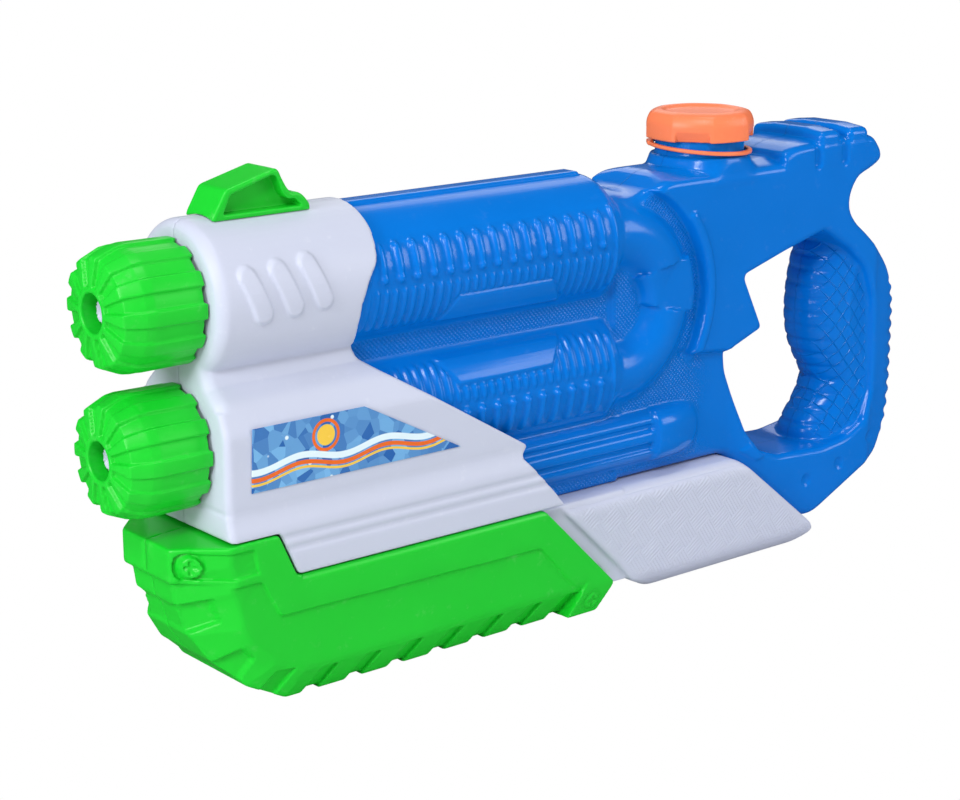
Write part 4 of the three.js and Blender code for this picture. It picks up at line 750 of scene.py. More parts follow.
@dataclass(frozen=True)
class Plastic:
    """Moulded plastic with grain, cloudy shade, scuffs and a seam line.

    Attributes:
        name: name of the material.
        colour: display colour.
        roughness: how dull the surface is.
        shade: how much the colour varies.
        grain: height of the fine grain in millimetres.
        scuffs: how strongly scuffs show.
        seam: height of the seam line in millimetres.
        lattice: height of the diamond lattice where the piece has a lattice zone.
        scales: height of the scale pattern where the piece has a scale zone.
        weave: height of the basket weave where the piece has a weave zone.
        gloss: strength of the plain reflection.
        dull_swing: how much the roughness varies with the shade.
        scuff_pale: how far a scuff goes towards white.
        scuff_dull: how much duller a scuff is.
    """

    name: str
    colour: Colour
    roughness: float = 0.36
    shade: float = 0.06
    grain: float = 0.01
    scuffs: float = 0.25
    seam: float = 0.0
    lattice: float = 0.0
    scales: float = 0.0
    weave: float = 0.0
    gloss: float = 0.35
    dull_swing: float = 0.12
    scuff_pale: float = 0.3
    scuff_dull: float = 0.2

    def build(self, effects: Effects) -> bpy.types.Material:
        """Make the material.

        Args:
            effects: the shared groups.

        Returns:
            The material.
        """
        material, graph, shader = new_material(self.name)
        skin = graph.group(effects.grain, grain_size=0.6, scuffs=self.scuffs)
        base = linear(self.colour)
        dark = tuple(c * (1 - 2 * self.shade) for c in base[:3]) + (1.0,)
        pale = tuple(c + (1 - c) * self.scuff_pale for c in base[:3]) + (1.0,)
        colour = graph.mix(skin.outputs["Shade"], dark, base)
        graph.put(graph.mix(skin.outputs["Scuff"], colour, pale), shader.inputs["Base Color"])
        least = self.roughness - self.dull_swing / 2
        dull = graph.math("MULTIPLY_ADD", skin.outputs["Shade"], self.dull_swing, least)
        dull = graph.math("MULTIPLY_ADD", skin.outputs["Scuff"], self.scuff_dull, dull)
        graph.put(dull, shader.inputs["Roughness"])
        height = self._height(graph, effects, skin)
        bump = graph.add("Bump", {"Height": height, "Distance": MM, "Strength": 1.0})
        graph.put(bump.outputs[0], shader.inputs["Normal"])
        shader.inputs["Specular IOR Level"].default_value = self.gloss
        return material

    def _height(self, graph: Graph, effects: Effects, skin: bpy.types.Node) -> bpy.types.NodeSocket:
        """Add up the grain and the patterns in use.

        Args:
            graph: graph of the material.
            effects: the shared groups.
            skin: the grain's node.

        Returns:
            Height of the surface in millimetres.
        """
        patterns = (
            (self.seam, "", effects.seam, {"half_width": 0.35}),
            (self.lattice, "lattice_zone", effects.lattice, {"pitch": 1.9}),
            (self.scales, "scale_zone", effects.cracks, {"pitch": 6.5}),
            (self.weave, "weave_zone", effects.weave, {"turn": 0.6}),
        )
        height = graph.math("MULTIPLY", skin.outputs["Height"], self.grain)
        for strength, zone, tree, inputs in patterns:
            if not strength:
                continue
            mask = strength
            if zone:
                inside = graph.add("Attribute", attribute_name=zone).outputs["Fac"]
                mask = graph.math("MULTIPLY", inside, strength)
            height = graph.math("MULTIPLY_ADD", graph.group(tree, **inputs).outputs[0], mask, height)
        return height


@dataclass(frozen=True)
class Foil:
    """Printed label: faceted blue water, a bright sun disc and three wavy stripes under it.

    Attributes:
        name: name of the material.
        deep: darkest blue of the facets.
        light: lightest blue of the facets.
        pale: colour of the wave's crest and the bubbles.
        warm: colour of the ring and the middle stripe.
        bright: colour of the disc and the last stripe.
        sun: x and z of the disc's middle.
        disc, ring: radii of the disc and of the ring round it.
        crest: level of the wave's crest.
        swing: how far the wave rises and falls.
        pace: how fast it does so along X, in radians per millimetre.
    """

    name: str = "label_foil"
    deep: Colour = (0.15, 0.38, 0.68)
    light: Colour = (0.47, 0.71, 0.90)
    pale: Colour = (0.88, 0.95, 0.98)
    warm: Colour = (0.92, 0.42, 0.14)
    bright: Colour = (0.96, 0.79, 0.28)
    sun: tuple[float, float] = (-128.0, 98.6)
    disc: float = 4.0
    ring: float = 5.4
    crest: float = 91.6
    swing: float = 1.5
    pace: float = 0.17

    def build(self, effects: Effects) -> bpy.types.Material:
        """Make the material.

        Args:
            effects: the shared groups.

        Returns:
            The material.
        """
        material, graph, shader = new_material(self.name)
        flat = graph.add("VectorMath", {0: graph.place(), 1: (1.0, 0.0, 1.0)}, operation="MULTIPLY")
        flat = flat.outputs[0]
        facets = graph.add("TexVoronoi", {"Vector": flat, "Scale": 210.0})
        tone = graph.add("SeparateColor", {0: facets.outputs["Color"]}).outputs[0]
        colour = graph.mix(tone, linear(self.deep), linear(self.light))
        bubbles = graph.add("TexVoronoi", {"Vector": flat, "Scale": 150.0, "Randomness": 0.8})
        colour = graph.mix(graph.fade(bubbles.outputs["Distance"], 0.19, 0.15), colour, linear(self.pale))
        for mask, tint in self._motifs(graph):
            colour = graph.mix(mask, colour, linear(tint))
        graph.put(colour, shader.inputs["Base Color"])
        skin = graph.group(effects.grain, grain_size=1.5, scuffs=0.2)
        graph.put(graph.math("MULTIPLY_ADD", skin.outputs["Scuff"], 0.3, 0.24), shader.inputs["Roughness"])
        return material

    def _motifs(self, graph: Graph) -> list[tuple[bpy.types.NodeSocket, Colour]]:
        """Draw the disc, its ring and the stripes.

        Args:
            graph: graph of the material.

        Returns:
            The mask of each, with its colour.
        """
        parts = graph.axes()
        across, up = (graph.math("DIVIDE", parts.outputs[name], MM) for name in ("X", "Z"))
        offset = [graph.math("SUBTRACT", axis, middle) for axis, middle in zip((across, up), self.sun)]
        squares = [graph.math("MULTIPLY", part, part) for part in offset]
        reach = graph.math("SQRT", graph.math("ADD", *squares))
        ring = graph.math("ABSOLUTE", graph.math("SUBTRACT", reach, self.ring))
        motifs = [(graph.fade(reach, self.disc, self.disc - 0.3), self.bright),
                  (graph.fade(ring, 0.75, 0.5), self.warm)]
        wave = graph.math("SINE", graph.math("MULTIPLY", across, self.pace))
        level = graph.math("SUBTRACT", up, graph.math("MULTIPLY", wave, self.swing))
        level = graph.math("SUBTRACT", level, self.crest)
        for drop, half, tint in ((0.0, 1.2, self.pale), (2.7, 0.8, self.warm), (4.5, 0.45, self.bright)):
            away = graph.math("ABSOLUTE", graph.math("ADD", level, drop))
            motifs.append((graph.fade(away, half + 0.15, half - 0.15), tint))
        return motifs


@dataclass(frozen=True)
class Steel:
    """Plain drawn steel with faint streaks.

    Attributes:
        name: name of the material.
        colour: display colour.
        shade: share of the colour that the darkest places keep.
    """

    name: str = "screw_steel"
    colour: Colour = (0.72, 0.72, 0.74)
    shade: float = 0.8

    def build(self, effects: Effects) -> bpy.types.Material:
        """Make the material.

        Args:
            effects: the shared groups.

        Returns:
            The material.
        """
        material, graph, shader = new_material(self.name)
        skin = graph.group(effects.grain, grain_size=0.4, scuffs=0.4)
        base = linear(self.colour)
        dark = tuple(c * self.shade for c in base[:3]) + (1.0,)
        graph.put(graph.mix(skin.outputs["Shade"], dark, base), shader.inputs["Base Color"])
        graph.put(graph.math("MULTIPLY_ADD", skin.outputs["Height"], 0.2, 0.25), shader.inputs["Roughness"])
        shader.inputs["Metallic"].default_value = 1.0
        return material


class Palette:
    """Every material of the squirter, by slot."""

    def __init__(self) -> None:
        """Build the shared groups and the materials."""
        effects = Effects.build()
        finishes = {
            Slot.BLUE: Plastic("tank_blue", (0.0, 0.455, 0.84), roughness=0.19, grain=0.005, gloss=0.28,
                               seam=0.25, lattice=0.3, scales=-0.35, scuffs=0.04),
            Slot.ORANGE: Plastic("cap_orange", (1.0, 0.52, 0.34), roughness=0.38),
            Slot.WHITE: Plastic("shell_white", (0.775, 0.795, 0.87), roughness=0.42, shade=0.02, weave=0.16),
            Slot.GREEN: Plastic("grip_green", (0.09, 0.81, 0.18), scuffs=0.12),
            Slot.PUMP: Plastic("pump_plain", (0.87, 0.89, 0.91), roughness=0.5),
            Slot.RUBBER: Plastic("seal_rubber", (0.08, 0.08, 0.09), roughness=0.8),
            Slot.HOSE: Plastic("hose_clear", (0.85, 0.91, 0.93), roughness=0.3),
            Slot.LABEL: Foil(),
            Slot.STEEL: Steel(),
        }
        self.materials = {slot: finish.build(effects) for slot, finish in finishes.items()}

    def __getitem__(self, slot: Slot) -> bpy.types.Material:
        """Give the material of a slot."""
        return self.materials[slot]


# Pieces


def node_box(node: str) -> tuple[Array, Array]:
    """Give a CAD node's lowest and highest corners in millimetres."""
    low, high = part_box(node)
    return np.array(low) / MM, np.array(high) / MM


def screw_axes(frame: dict, prefix: str) -> list[tuple[float, float]]:
    """Find the screws whose node names start with a prefix.

    Args:
        frame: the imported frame.
        prefix: start of the screws' node names.

    Returns:
        x and z of each screw.
    """
    axes = []
    for name in sorted(frame["nodes"]):
        if name.startswith(prefix):
            low, high = node_box(name)
            axes.append((float(low[0] + high[0]) / 2, float(low[2] + high[2]) / 2))
    return axes


@dataclass(kw_only=True)
class Moulding:
    """Base of the moulded pieces.

    Attributes:
        palette: materials by slot.
        step: spacing of the grid.
        triangles: about how many triangles a piece keeps.
    """

    palette: Palette
    step: float = 0.45
    triangles: int = 60000

    def form(self, name: str, skin: tuple[Array, Array], body: Body, slot: Slot,
             node: str) -> bpy.types.Object:
        """Make a piece from its skin, dress it and put it on its body in place of its CAD node.

        Args:
            name: name of the piece.
            skin: its vertices and faces.
            body: body that it rides on.
            slot: record slot of its finish.
            node: CAD node that it stands for.

        Returns:
            The piece.
        """
        piece = make_piece(name, *skin, self.triangles)
        piece.data.materials.clear()
        piece.data.materials.append(self.palette[slot])
        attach(piece, body.value)
        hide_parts(node)
        log.info("%s: %d faces for %s", piece.name, len(piece.data.polygons), node)
        return piece


@dataclass(kw_only=True)
class WaterTank(Moulding):
    """Blue tank, blown in one piece with its barrels, neck and handle.

    Attributes:
        back: x of the handle's back.
        neck: x of the filler neck's axis.
        front, rear: x of the barrels' ends.
        radius: radius of the barrels.
        end_round: rounding of the barrels' ends.
        ridge_half, ridge_height: half-width and height of the ridge along the upper barrel.
        half: half-width of the rear body.
        recess_half: half-width of the walls that are sunk round the bend.
        recess_radius: radius of that sunk field.
        bend: radius of the bend's middle line.
        bend_width, bend_height: half-sizes of the bend's oval section.
        band_half, band_out: half-height and outer y of the flat band on it.
        web_half: half-width of the wall between the barrels.
        chin_front: x where the walls under the shell start.
        tube_level, tube_half: middle level and half-height of the third, flat tube.
        tube_out, tube_step: y of its nose's side, and how far the fluted part is sunk.
        base: level of the underside.
        top: level of the flat top.
        crown: how far the handle's top stands above it.
        neck_radius, flange_radius: radii of the filler neck and of its flange.
        bore, bore_floor: radius and lowest level of the neck's bore.
        core_half: half-width of the finger grip.
        ribs_front: x where the ribs start.
        rim: x of the ring behind them.
        finger_first, finger_pitch: x of one finger rib and the step to the next.
        fine_first, fine_pitch: the same for the fine ribs.
        finger, knuckle, fine, rim_ring: sections of the ribs on the barrels.
        flute, arch, crease, crown_groove, grip_ring: sections of the other ridges and grooves.
        rib_step: spacing of the grid's finer stretch at the ribs.
    """

    back: float
    neck: float
    front: float = -123.75
    rear: float = 22.75
    radius: float = 26.0
    end_round: float = 8.0
    ridge_half: float = 4.5
    ridge_height: float = 1.3
    half: float = 21.0
    recess_half: float = 17.0
    recess_radius: float = 48.0
    bend: float = 28.0
    bend_width: float = 24.4
    bend_height: float = 17.6
    band_half: float = 14.2
    band_out: float = 22.8
    web_half: float = 14.6
    chin_front: float = -57.75
    tube_level: float = 65.0
    tube_half: float = 11.5
    tube_out: float = 24.6
    tube_step: float = 2.2
    base: float = 48.0
    top: float = 172.5
    crown: float = 7.5
    neck_radius: float = 18.5
    flange_radius: float = 22.5
    bore: float = 16.0
    bore_floor: float = 150.0
    core_half: float = 15.5
    ribs_front: float = -104.0
    rim: float = 14.8
    finger_first: float = 7.5
    finger_pitch: float = 7.58
    fine_first: float = 10.6
    fine_pitch: float = 4.15
    finger: Bead = Bead(2.2, 1.7)
    knuckle: Bead = Bead(2.5, 2.1)
    fine: Bead = Bead(1.7, 0.95)
    rim_ring: Bead = Bead(1.7, 1.2)
    flute: Bead = Bead(2.4, 2.0)
    arch: Bead = Bead(3.0, 1.2)
    crease: Bead = Bead(1.5, 0.9)
    crown_groove: Bead = Bead(2.6, 1.6)
    grip_ring: Bead = Bead(1.4, 0.6)
    rib_step: float = 0.55
    step: float = 0.85
    triangles: int = 190000

    @property
    def middle(self) -> float:
        """Level half-way between the barrels."""
        return (UPPER_AXIS + LOWER_AXIS) / 2

    def from_back(self, places: Outline) -> Outline:
        """Move places that are measured from the handle's back to the frame's X."""
        return [(self.back + x, z) for x, z in places]

    def rear_outline(self) -> Outline:
        """Outline the body and handle behind the barrels, in X and Z.

        Returns:
            The rounded outline.
        """
        corners = [
            (-182, self.base), (-114.75, self.base), (-69.1, 11), (-59.6, 10.4), (-16.5, 30.5), (-9, 43),
            (-3, 58), (0, 74), (-0.5, 88), (-5, 103), (-12, 116.5), (-20.5, 125), (-30.7, 134),
            (-38.2, 139.5), (-43, 145.8), (-43, 152.4), (-38.5, 159.6), (-30, 162.3), (-23.5, 165.7),
            (-23.5, 170), (-32, self.top + self.crown), (-80, self.top + 4.5), (-90, self.top),
            (-151.5, self.top), (-162, self.top - 6.5), (-182, self.top - 12),
        ]
        return fillet(self.from_back(corners), 4.5)

    def plan_outline(self) -> Outline:
        """Outline the handle's tapered back seen from above, in X and Y.

        Returns:
            The rounded outline.
        """
        back = self.back
        corners = [(0, -30), (0, 30), (back - 24, 30), (back - 24, self.half), (back - 8, 16.5),
                   (back + 1.5, 8), (back + 1.5, -30)]
        return fillet(corners, 4)

    def hole_outline(self) -> Outline:
        """Outline the hand opening with its trigger point, in X and Z.

        Returns:
            The rounded outline.
        """
        corners = [
            (-108.4, 125), (-96.4, 101), (-115.4, 94), (-114.4, 84.8), (-108.4, 69.6), (-102.5, 55.5),
            (-95, 46.5), (-84, 42.3), (-55, 40.5), (-40, 42.5), (-28.5, 48.2), (-23.5, 61.5), (-23.3, 79.6),
            (-25, 103.7), (-30.3, 117.2), (-41.2, 128.2), (-59, 138.6), (-84.2, 132.1),
        ]
        return fillet(self.from_back(corners), 2.5)

    def core_path(self) -> Outline:
        """Draw the middle line of the finger grip.

        Returns:
            Points from its top to its foot.
        """
        places = [(-33, 132), (-38.5, 116), (-40.5, 100), (-38.5, 88), (-31, 75), (-28.5, 65), (-33, 53),
                  (-42, 41)]
        return smooth_path(self.from_back(places), 4)

    def rib_relief(self, x: Array, v: Array) -> Array:
        """Measure the ribs on a barrel's side.

        Args:
            x: places along the barrel.
            v: heights above the axis, upside down on the lower barrel.

        Returns:
            Heights above the round barrel.
        """
        fit = ramp(x, self.ribs_front - 2, self.ribs_front) * ramp(x, self.rim - 1.5, self.rim - 3)
        across = nearest(x, self.finger_first, self.finger_pitch)
        fingers = self.finger.over(np.hypot(across, between(v, 4.4, 13.0)))
        fingers = np.maximum(fingers, self.knuckle.over(np.hypot(across, v - 1.9)))
        across = nearest(x, self.fine_first, self.fine_pitch)
        fine = self.fine.over(np.hypot(across, between(v, -17, -3.6)))
        inside = polygon_distance([(-63, -9), (-17, -9), (-9, -19), (-70, -19)], x, v)
        plain = 1.15 * ramp(inside, 0.8, -0.6)
        height = np.maximum(np.maximum(fingers, fine * ramp(inside, 0.5, 1.5)), plain) * fit
        return np.maximum(height, self.rim_ring.over(np.hypot(x - self.rim, between(v, -15, 15))))

    def barrels(self, at: Places) -> Array:
        """Measure the two ribbed barrels and the ridge along the top.

        Args:
            at: places to measure.

        Returns:
            Signed distances.
        """
        x, y, z = at
        length = slab(x, (self.front + self.rear) / 2, (self.rear - self.front) / 2)
        tubes = []
        for axis, way in ((UPPER_AXIS, 1), (LOWER_AXIS, -1)):
            side = np.hypot(y, z - axis) - self.radius - self.rib_relief(x, way * (z - axis))
            tubes.append(meet(side, length, self.end_round))
        ridge = meet(y - self.ridge_half, z - UPPER_AXIS - self.radius - self.ridge_height, 0.8)
        ridge = meet(ridge, np.maximum(UPPER_AXIS - z, slab(x, -45, 59.5)), 1.2)
        return join(join(*tubes), ridge, 0.8)

    def web(self, at: Places) -> Array:
        """Measure the sunk walls between and below the barrels.

        Args:
            at: places to measure.

        Returns:
            Signed distances.
        """
        x, y, z = at
        upper = overlap(y - self.web_half, slab(x, -45.8, 71), slab(z, self.middle, 26))
        level = slab(z, (self.base + LOWER_AXIS) / 2, (LOWER_AXIS - self.base) / 2)
        chin = overlap(y - self.recess_half, self.chin_front - x, x - (self.rear + 3), level)
        return join(upper, chin, 1.0)

    def bulge(self, at: Places) -> Array:
        """Measure the third, flat tube: a blunt nose with three flutes in front of it.

        Args:
            at: places to measure.

        Returns:
            Signed distances.
        """
        x, y, z = at
        side = path_distance([(-90, self.tube_level), (64, self.tube_level)], x, z) - self.tube_half
        face = y - self.tube_out + 0.0105 * np.maximum(x - 47, 0) ** 2
        sunk = self.tube_step * ramp(x, 43.5, 41.5)
        for level in (69.2, 61.2):
            sunk = sunk + self.flute.over(np.hypot(z - level, between(x, -90, 40)))
        return np.maximum(meet(side, face + sunk, 8.5), self.chin_front - x)

    def bend_reach(self, x: Array, z: Array) -> Array:
        """Measure how far places lie from the point that the bend turns about."""
        return np.hypot(x - self.rear, z - self.middle)

    def elbow(self, at: Places) -> Array:
        """Measure the round bend that joins the barrels, flattened by a band at its middle.

        Args:
            at: places to measure.

        Returns:
            Signed distances.
        """
        x, y, z = at
        turn = np.where(x > self.rear, self.bend_reach(x, z), np.abs(z - self.middle))
        away = np.abs(turn - self.bend)
        tube = (np.hypot(y / self.bend_width, away / self.bend_height) - 1) * self.bend_height
        strap = meet(away - self.band_half, y - self.band_out, 5.5)
        fan = np.abs(z - 127) - 0.21 * (x - self.rear + 17)
        mask = ramp(fan, 0.3, -0.3) * ramp(x, self.rear, self.rear + 3)
        return np.maximum(tube + (strap - tube) * mask, self.rear - 12 - x)

    def side_relief(self, x: Array, z: Array) -> Array:
        """Measure the mouldings on the flat sides of the rear body.

        Args:
            x: places along X.
            z: places along Z.

        Returns:
            Heights above the flat side.
        """
        reach = self.recess_radius + self.arch.half
        turns = np.linspace(math.radians(38), math.radians(-33), 12)
        ridge = [(self.rear + reach * math.cos(a), self.middle + reach * math.sin(a)) for a in turns]
        height = self.arch.over(path_distance(ridge, x, z))
        height = height - self.crease.over(path_distance([(60.5, 96.6), (87, 94)], x, z))
        for along in (136.8, 153.8):
            height = height - self.crown_groove.over(np.hypot(x - along, between(z, 168, 200)))
        for along, up in ((136.8, 27.6), (158.1, 31.5), (178.8, 39.9)):
            height = height - ramp(np.hypot(x - along, z - up), 3.4, 1.6)
        lug = polygon_distance([(101.6, 50.4), (109.7, 44.1), (103.8, 42.7), (95.8, 48)], x, z)
        return height + 0.9 * ramp(lug, 0.5, -0.6)

    def wall_half(self, x: Array, z: Array) -> Array:
        """Measure the side walls, sunk round the bend and below the trigger.

        Args:
            x: places along X.
            z: places along Z.

        Returns:
            Half-widths of the body.
        """
        arc = ramp(self.bend_reach(x, z) - self.recess_radius, 0.9, -0.9)
        below = ramp(LOWER_AXIS + 6.7 - 0.1 * x - z, -0.4, 1.4)
        below = below * ramp(x, self.back - 95, self.back - 115)
        return self.half - (self.half - self.recess_half) * np.maximum(arc, below)

    def rear_body(self, at: Places) -> Array:
        """Measure the body and handle behind the barrels.

        Args:
            at: places to measure.

        Returns:
            Signed distances.
        """
        x, y, z = at
        bumps = np.cos(math.tau * (z - 40.5) / 6.0) * ramp(z, 36, 42) * ramp(z, 114, 108)
        bent = x - 0.8 * bumps * ramp(x, self.back - 16, self.back - 9)
        walls = y - self.wall_half(x, z) - self.side_relief(x, z)
        solid = meet(polygon_distance(self.rear_outline(), bent, z), walls, 4.0)
        solid = meet(solid, polygon_distance(self.plan_outline(), bent, y), 4.0)
        roof = np.where(x < self.back - 86, self.top, self.top + self.crown)
        slope = 3.5 / 12
        solid = meet(solid, z - roof + slope * np.maximum(y - 9, 0), 2.5)
        solid = join(solid, self.bars(at), 0.8)
        return cut(solid, polygon_distance(self.hole_outline(), x, z), 3.0)

    def bars(self, at: Places) -> Array:
        """Measure the two cross bars on the crown, whose ends run down the sides.

        Args:
            at: places to measure.

        Returns:
            Signed distances.
        """
        x, y, z = at
        bars = []
        for along in (self.back - 58, self.back - 40):
            bar = meet(slab(x, along, 6.4), z - self.top - 9.9 + 0.12 * np.maximum(y - 9, 0), 2.8)
            bars.append(meet(bar, np.maximum(y - self.half + 0.3, self.top - 6 - z), 2.8))
        return join(*bars)

    def core(self, at: Places) -> Array:
        """Measure the finger grip inside the handle, with rings round its front.

        Args:
            at: places to measure.

        Returns:
            Signed distances.
        """
        x, y, z = at
        path = self.core_path()
        alongs, levels = zip(*path[::-1])
        middle = np.interp(z, levels, alongs).astype(np.float32)
        rings = self.grip_ring.over(np.abs(nearest(z, 41, 6.4))) * ramp(middle - x, 5.0, 10.0)
        away = path_distance([(along + 2.0, up) for along, up in path], x, z)
        tube = (np.hypot(y / self.core_half, away / 16) - 1) * self.core_half + rings
        flank = np.maximum(middle + 4 - x, polygon_distance(self.hole_outline(), x, z) - 2)
        solid = join(tube, np.maximum(flank, y - 16.2), 3.0)
        return np.maximum(solid, polygon_distance(self.rear_outline(), x, z) + 1.0)

    def neck_bore(self, at: Places) -> Array:
        """Measure the bore that the filler neck opens into the tank."""
        return meet(np.hypot(at.x - self.neck, at.y) - self.bore, self.bore_floor - at.z)

    def neck_tube(self, at: Places) -> Array:
        """Measure the filler neck and its flange.

        Args:
            at: places to measure.

        Returns:
            Signed distances.
        """
        x, y, z = at
        reach = np.hypot(x - self.neck, y)
        side = (reach - self.flange_radius + 0.35 * (z - self.top + 2.5)) / 1.06
        flange = meet(meet(side, slab(z, 170, 5.6), 0.5), y - self.half, 1.0)
        tube = meet(reach - self.neck_radius, slab(z, 178, 9.7), 0.5)
        return cut(join(flange, tube, 0.6), self.neck_bore(at), 0.5)

    def distance(self, at: Places) -> Array:
        """Measure the half of the tank with y > 0.

        Args:
            at: places to measure.

        Returns:
            Signed distances.
        """
        solid = join(self.rear_body(at), self.core(at), 2.0)
        shapes = ((self.web, 1.5), (self.elbow, 2.0), (self.bulge, 1.6), (self.barrels, 1.6))
        for shape, rounding in shapes:
            solid = join(solid, shape(at), rounding)
        solid = cut(solid, self.neck_bore(at), 0.5)
        return join(solid, self.neck_tube(at), 1.2)

    def lattice_zone(self, places: Array, normals: Array) -> Array:
        """Find where the diamond lattice covers the sunk walls.

        Args:
            places: the piece's vertices.
            normals: their normals.

        Returns:
            1 in the zone, 0 outside it.
        """
        x, y, _ = places.T
        out = np.abs(y)
        sunk = ramp(out, self.recess_half + 0.9, self.recess_half + 0.3) * ramp(out, 13.6, 14.2)
        return sunk * ramp(np.abs(normals[:, 1]), 0.9, 0.97) * ramp(x, 74, 70)

    def scale_zone(self, places: Array, normals: Array) -> Array:
        """Find where the scale pattern covers the finger grip.

        Args:
            places: the piece's vertices.
            normals: their normals, which don't matter here.

        Returns:
            1 in the zone, 0 outside it.
        """
        x, y, z = places.T
        inside = ramp(polygon_distance(self.hole_outline(), x, z), -0.5, -2.5)
        return inside * ramp(np.abs(y), 18.0, 17.0) * ramp(x, 150, 156)

    def build(self) -> None:
        """Build, dress and seat the tank."""
        ribbed = (-108, 18, self.rib_step)
        grid = Lattice.over((self.front, 0, 8), (self.back + 2, 27, 189), self.step, ribbed)
        skin = grid.mirrored_skin(self.distance(grid.places))
        piece = self.form("water_tank_blown", skin, Body.SQUIRTER, Slot.BLUE, "water_tank")
        store(piece, "lattice_zone", self.lattice_zone)
        store(piece, "scale_zone", self.scale_zone)


@dataclass
class ScrewPost:
    """Post in a right-hand half that takes a screw, with a deep pocket over its head.

    Attributes:
        radius: radius of the post.
        pocket: radius of the pocket.
        floor: y of the pocket's floor.
        shank: radius of the bore for the screw.
    """

    radius: float = 5.2
    pocket: float = 3.3
    floor: float = 11.7
    shank: float = 1.7

    def apply(self, solid: Array, envelope: Array, at: Places, axes: list[tuple[float, float]],
              start: float) -> Array:
        """Add the posts to a half and bore them.

        Args:
            solid: distance of the half.
            envelope: distance of its outside.
            at: places of the half's grid.
            axes: x and z of each screw.
            start: y where the posts start.

        Returns:
            The half with its posts.
        """
        x, y, z = at
        for along, up in axes:
            reach = np.hypot(x - along, z - up)
            solid = join(solid, overlap(reach - self.radius, start - y, envelope), 0.5)
            hole = join(np.maximum(reach - self.pocket, self.floor - y), reach - self.shank)
            solid = cut(solid, hole, 0.4)
        return solid


@dataclass(kw_only=True)
class HalfMoulding(Moulding):
    """Base of the pieces moulded as a left and a right half, screwed together from the right.

    Attributes:
        frame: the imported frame, for the places of the screws.
        title: start of the pieces' names.
        node: start of the names of the CAD nodes.
        screws: start of the screws' node names.
        body: body that both halves ride on.
        slot: record slot of their finish.
        post_start: y where the screw posts start.
        wall: thickness of the walls.
    """

    frame: dict
    title: str
    node: str
    screws: str
    body: Body = Body.SQUIRTER
    slot: Slot = Slot.WHITE
    post_start: float = 0.1
    wall: float = 2.2

    def form_halves(self, grid: Lattice, half: Array, envelope: Array) -> list[bpy.types.Object]:
        """Skin both halves and seat them; the right one gets the screw posts.

        Args:
            grid: grid of the right half.
            half: distance of the half on that grid.
            envelope: distance of its outside.

        Returns:
            The left and the right piece.
        """
        axes = screw_axes(self.frame, self.screws)
        posted = ScrewPost().apply(half, envelope, grid.places, axes, self.post_start)
        pieces = []
        for side, solid in ((Side.LEFT, half), (Side.RIGHT, posted)):
            vertices, faces = grid.skin(solid)
            if side is Side.LEFT:
                vertices = vertices * np.array([1, -1, 1])
                faces = faces[:, ::-1]
            name = f"{self.title}_{side.value}_half"
            pieces.append(self.form(name, (vertices, faces), self.body, self.slot,
                                    f"{self.node}_{side.value}"))
        return pieces


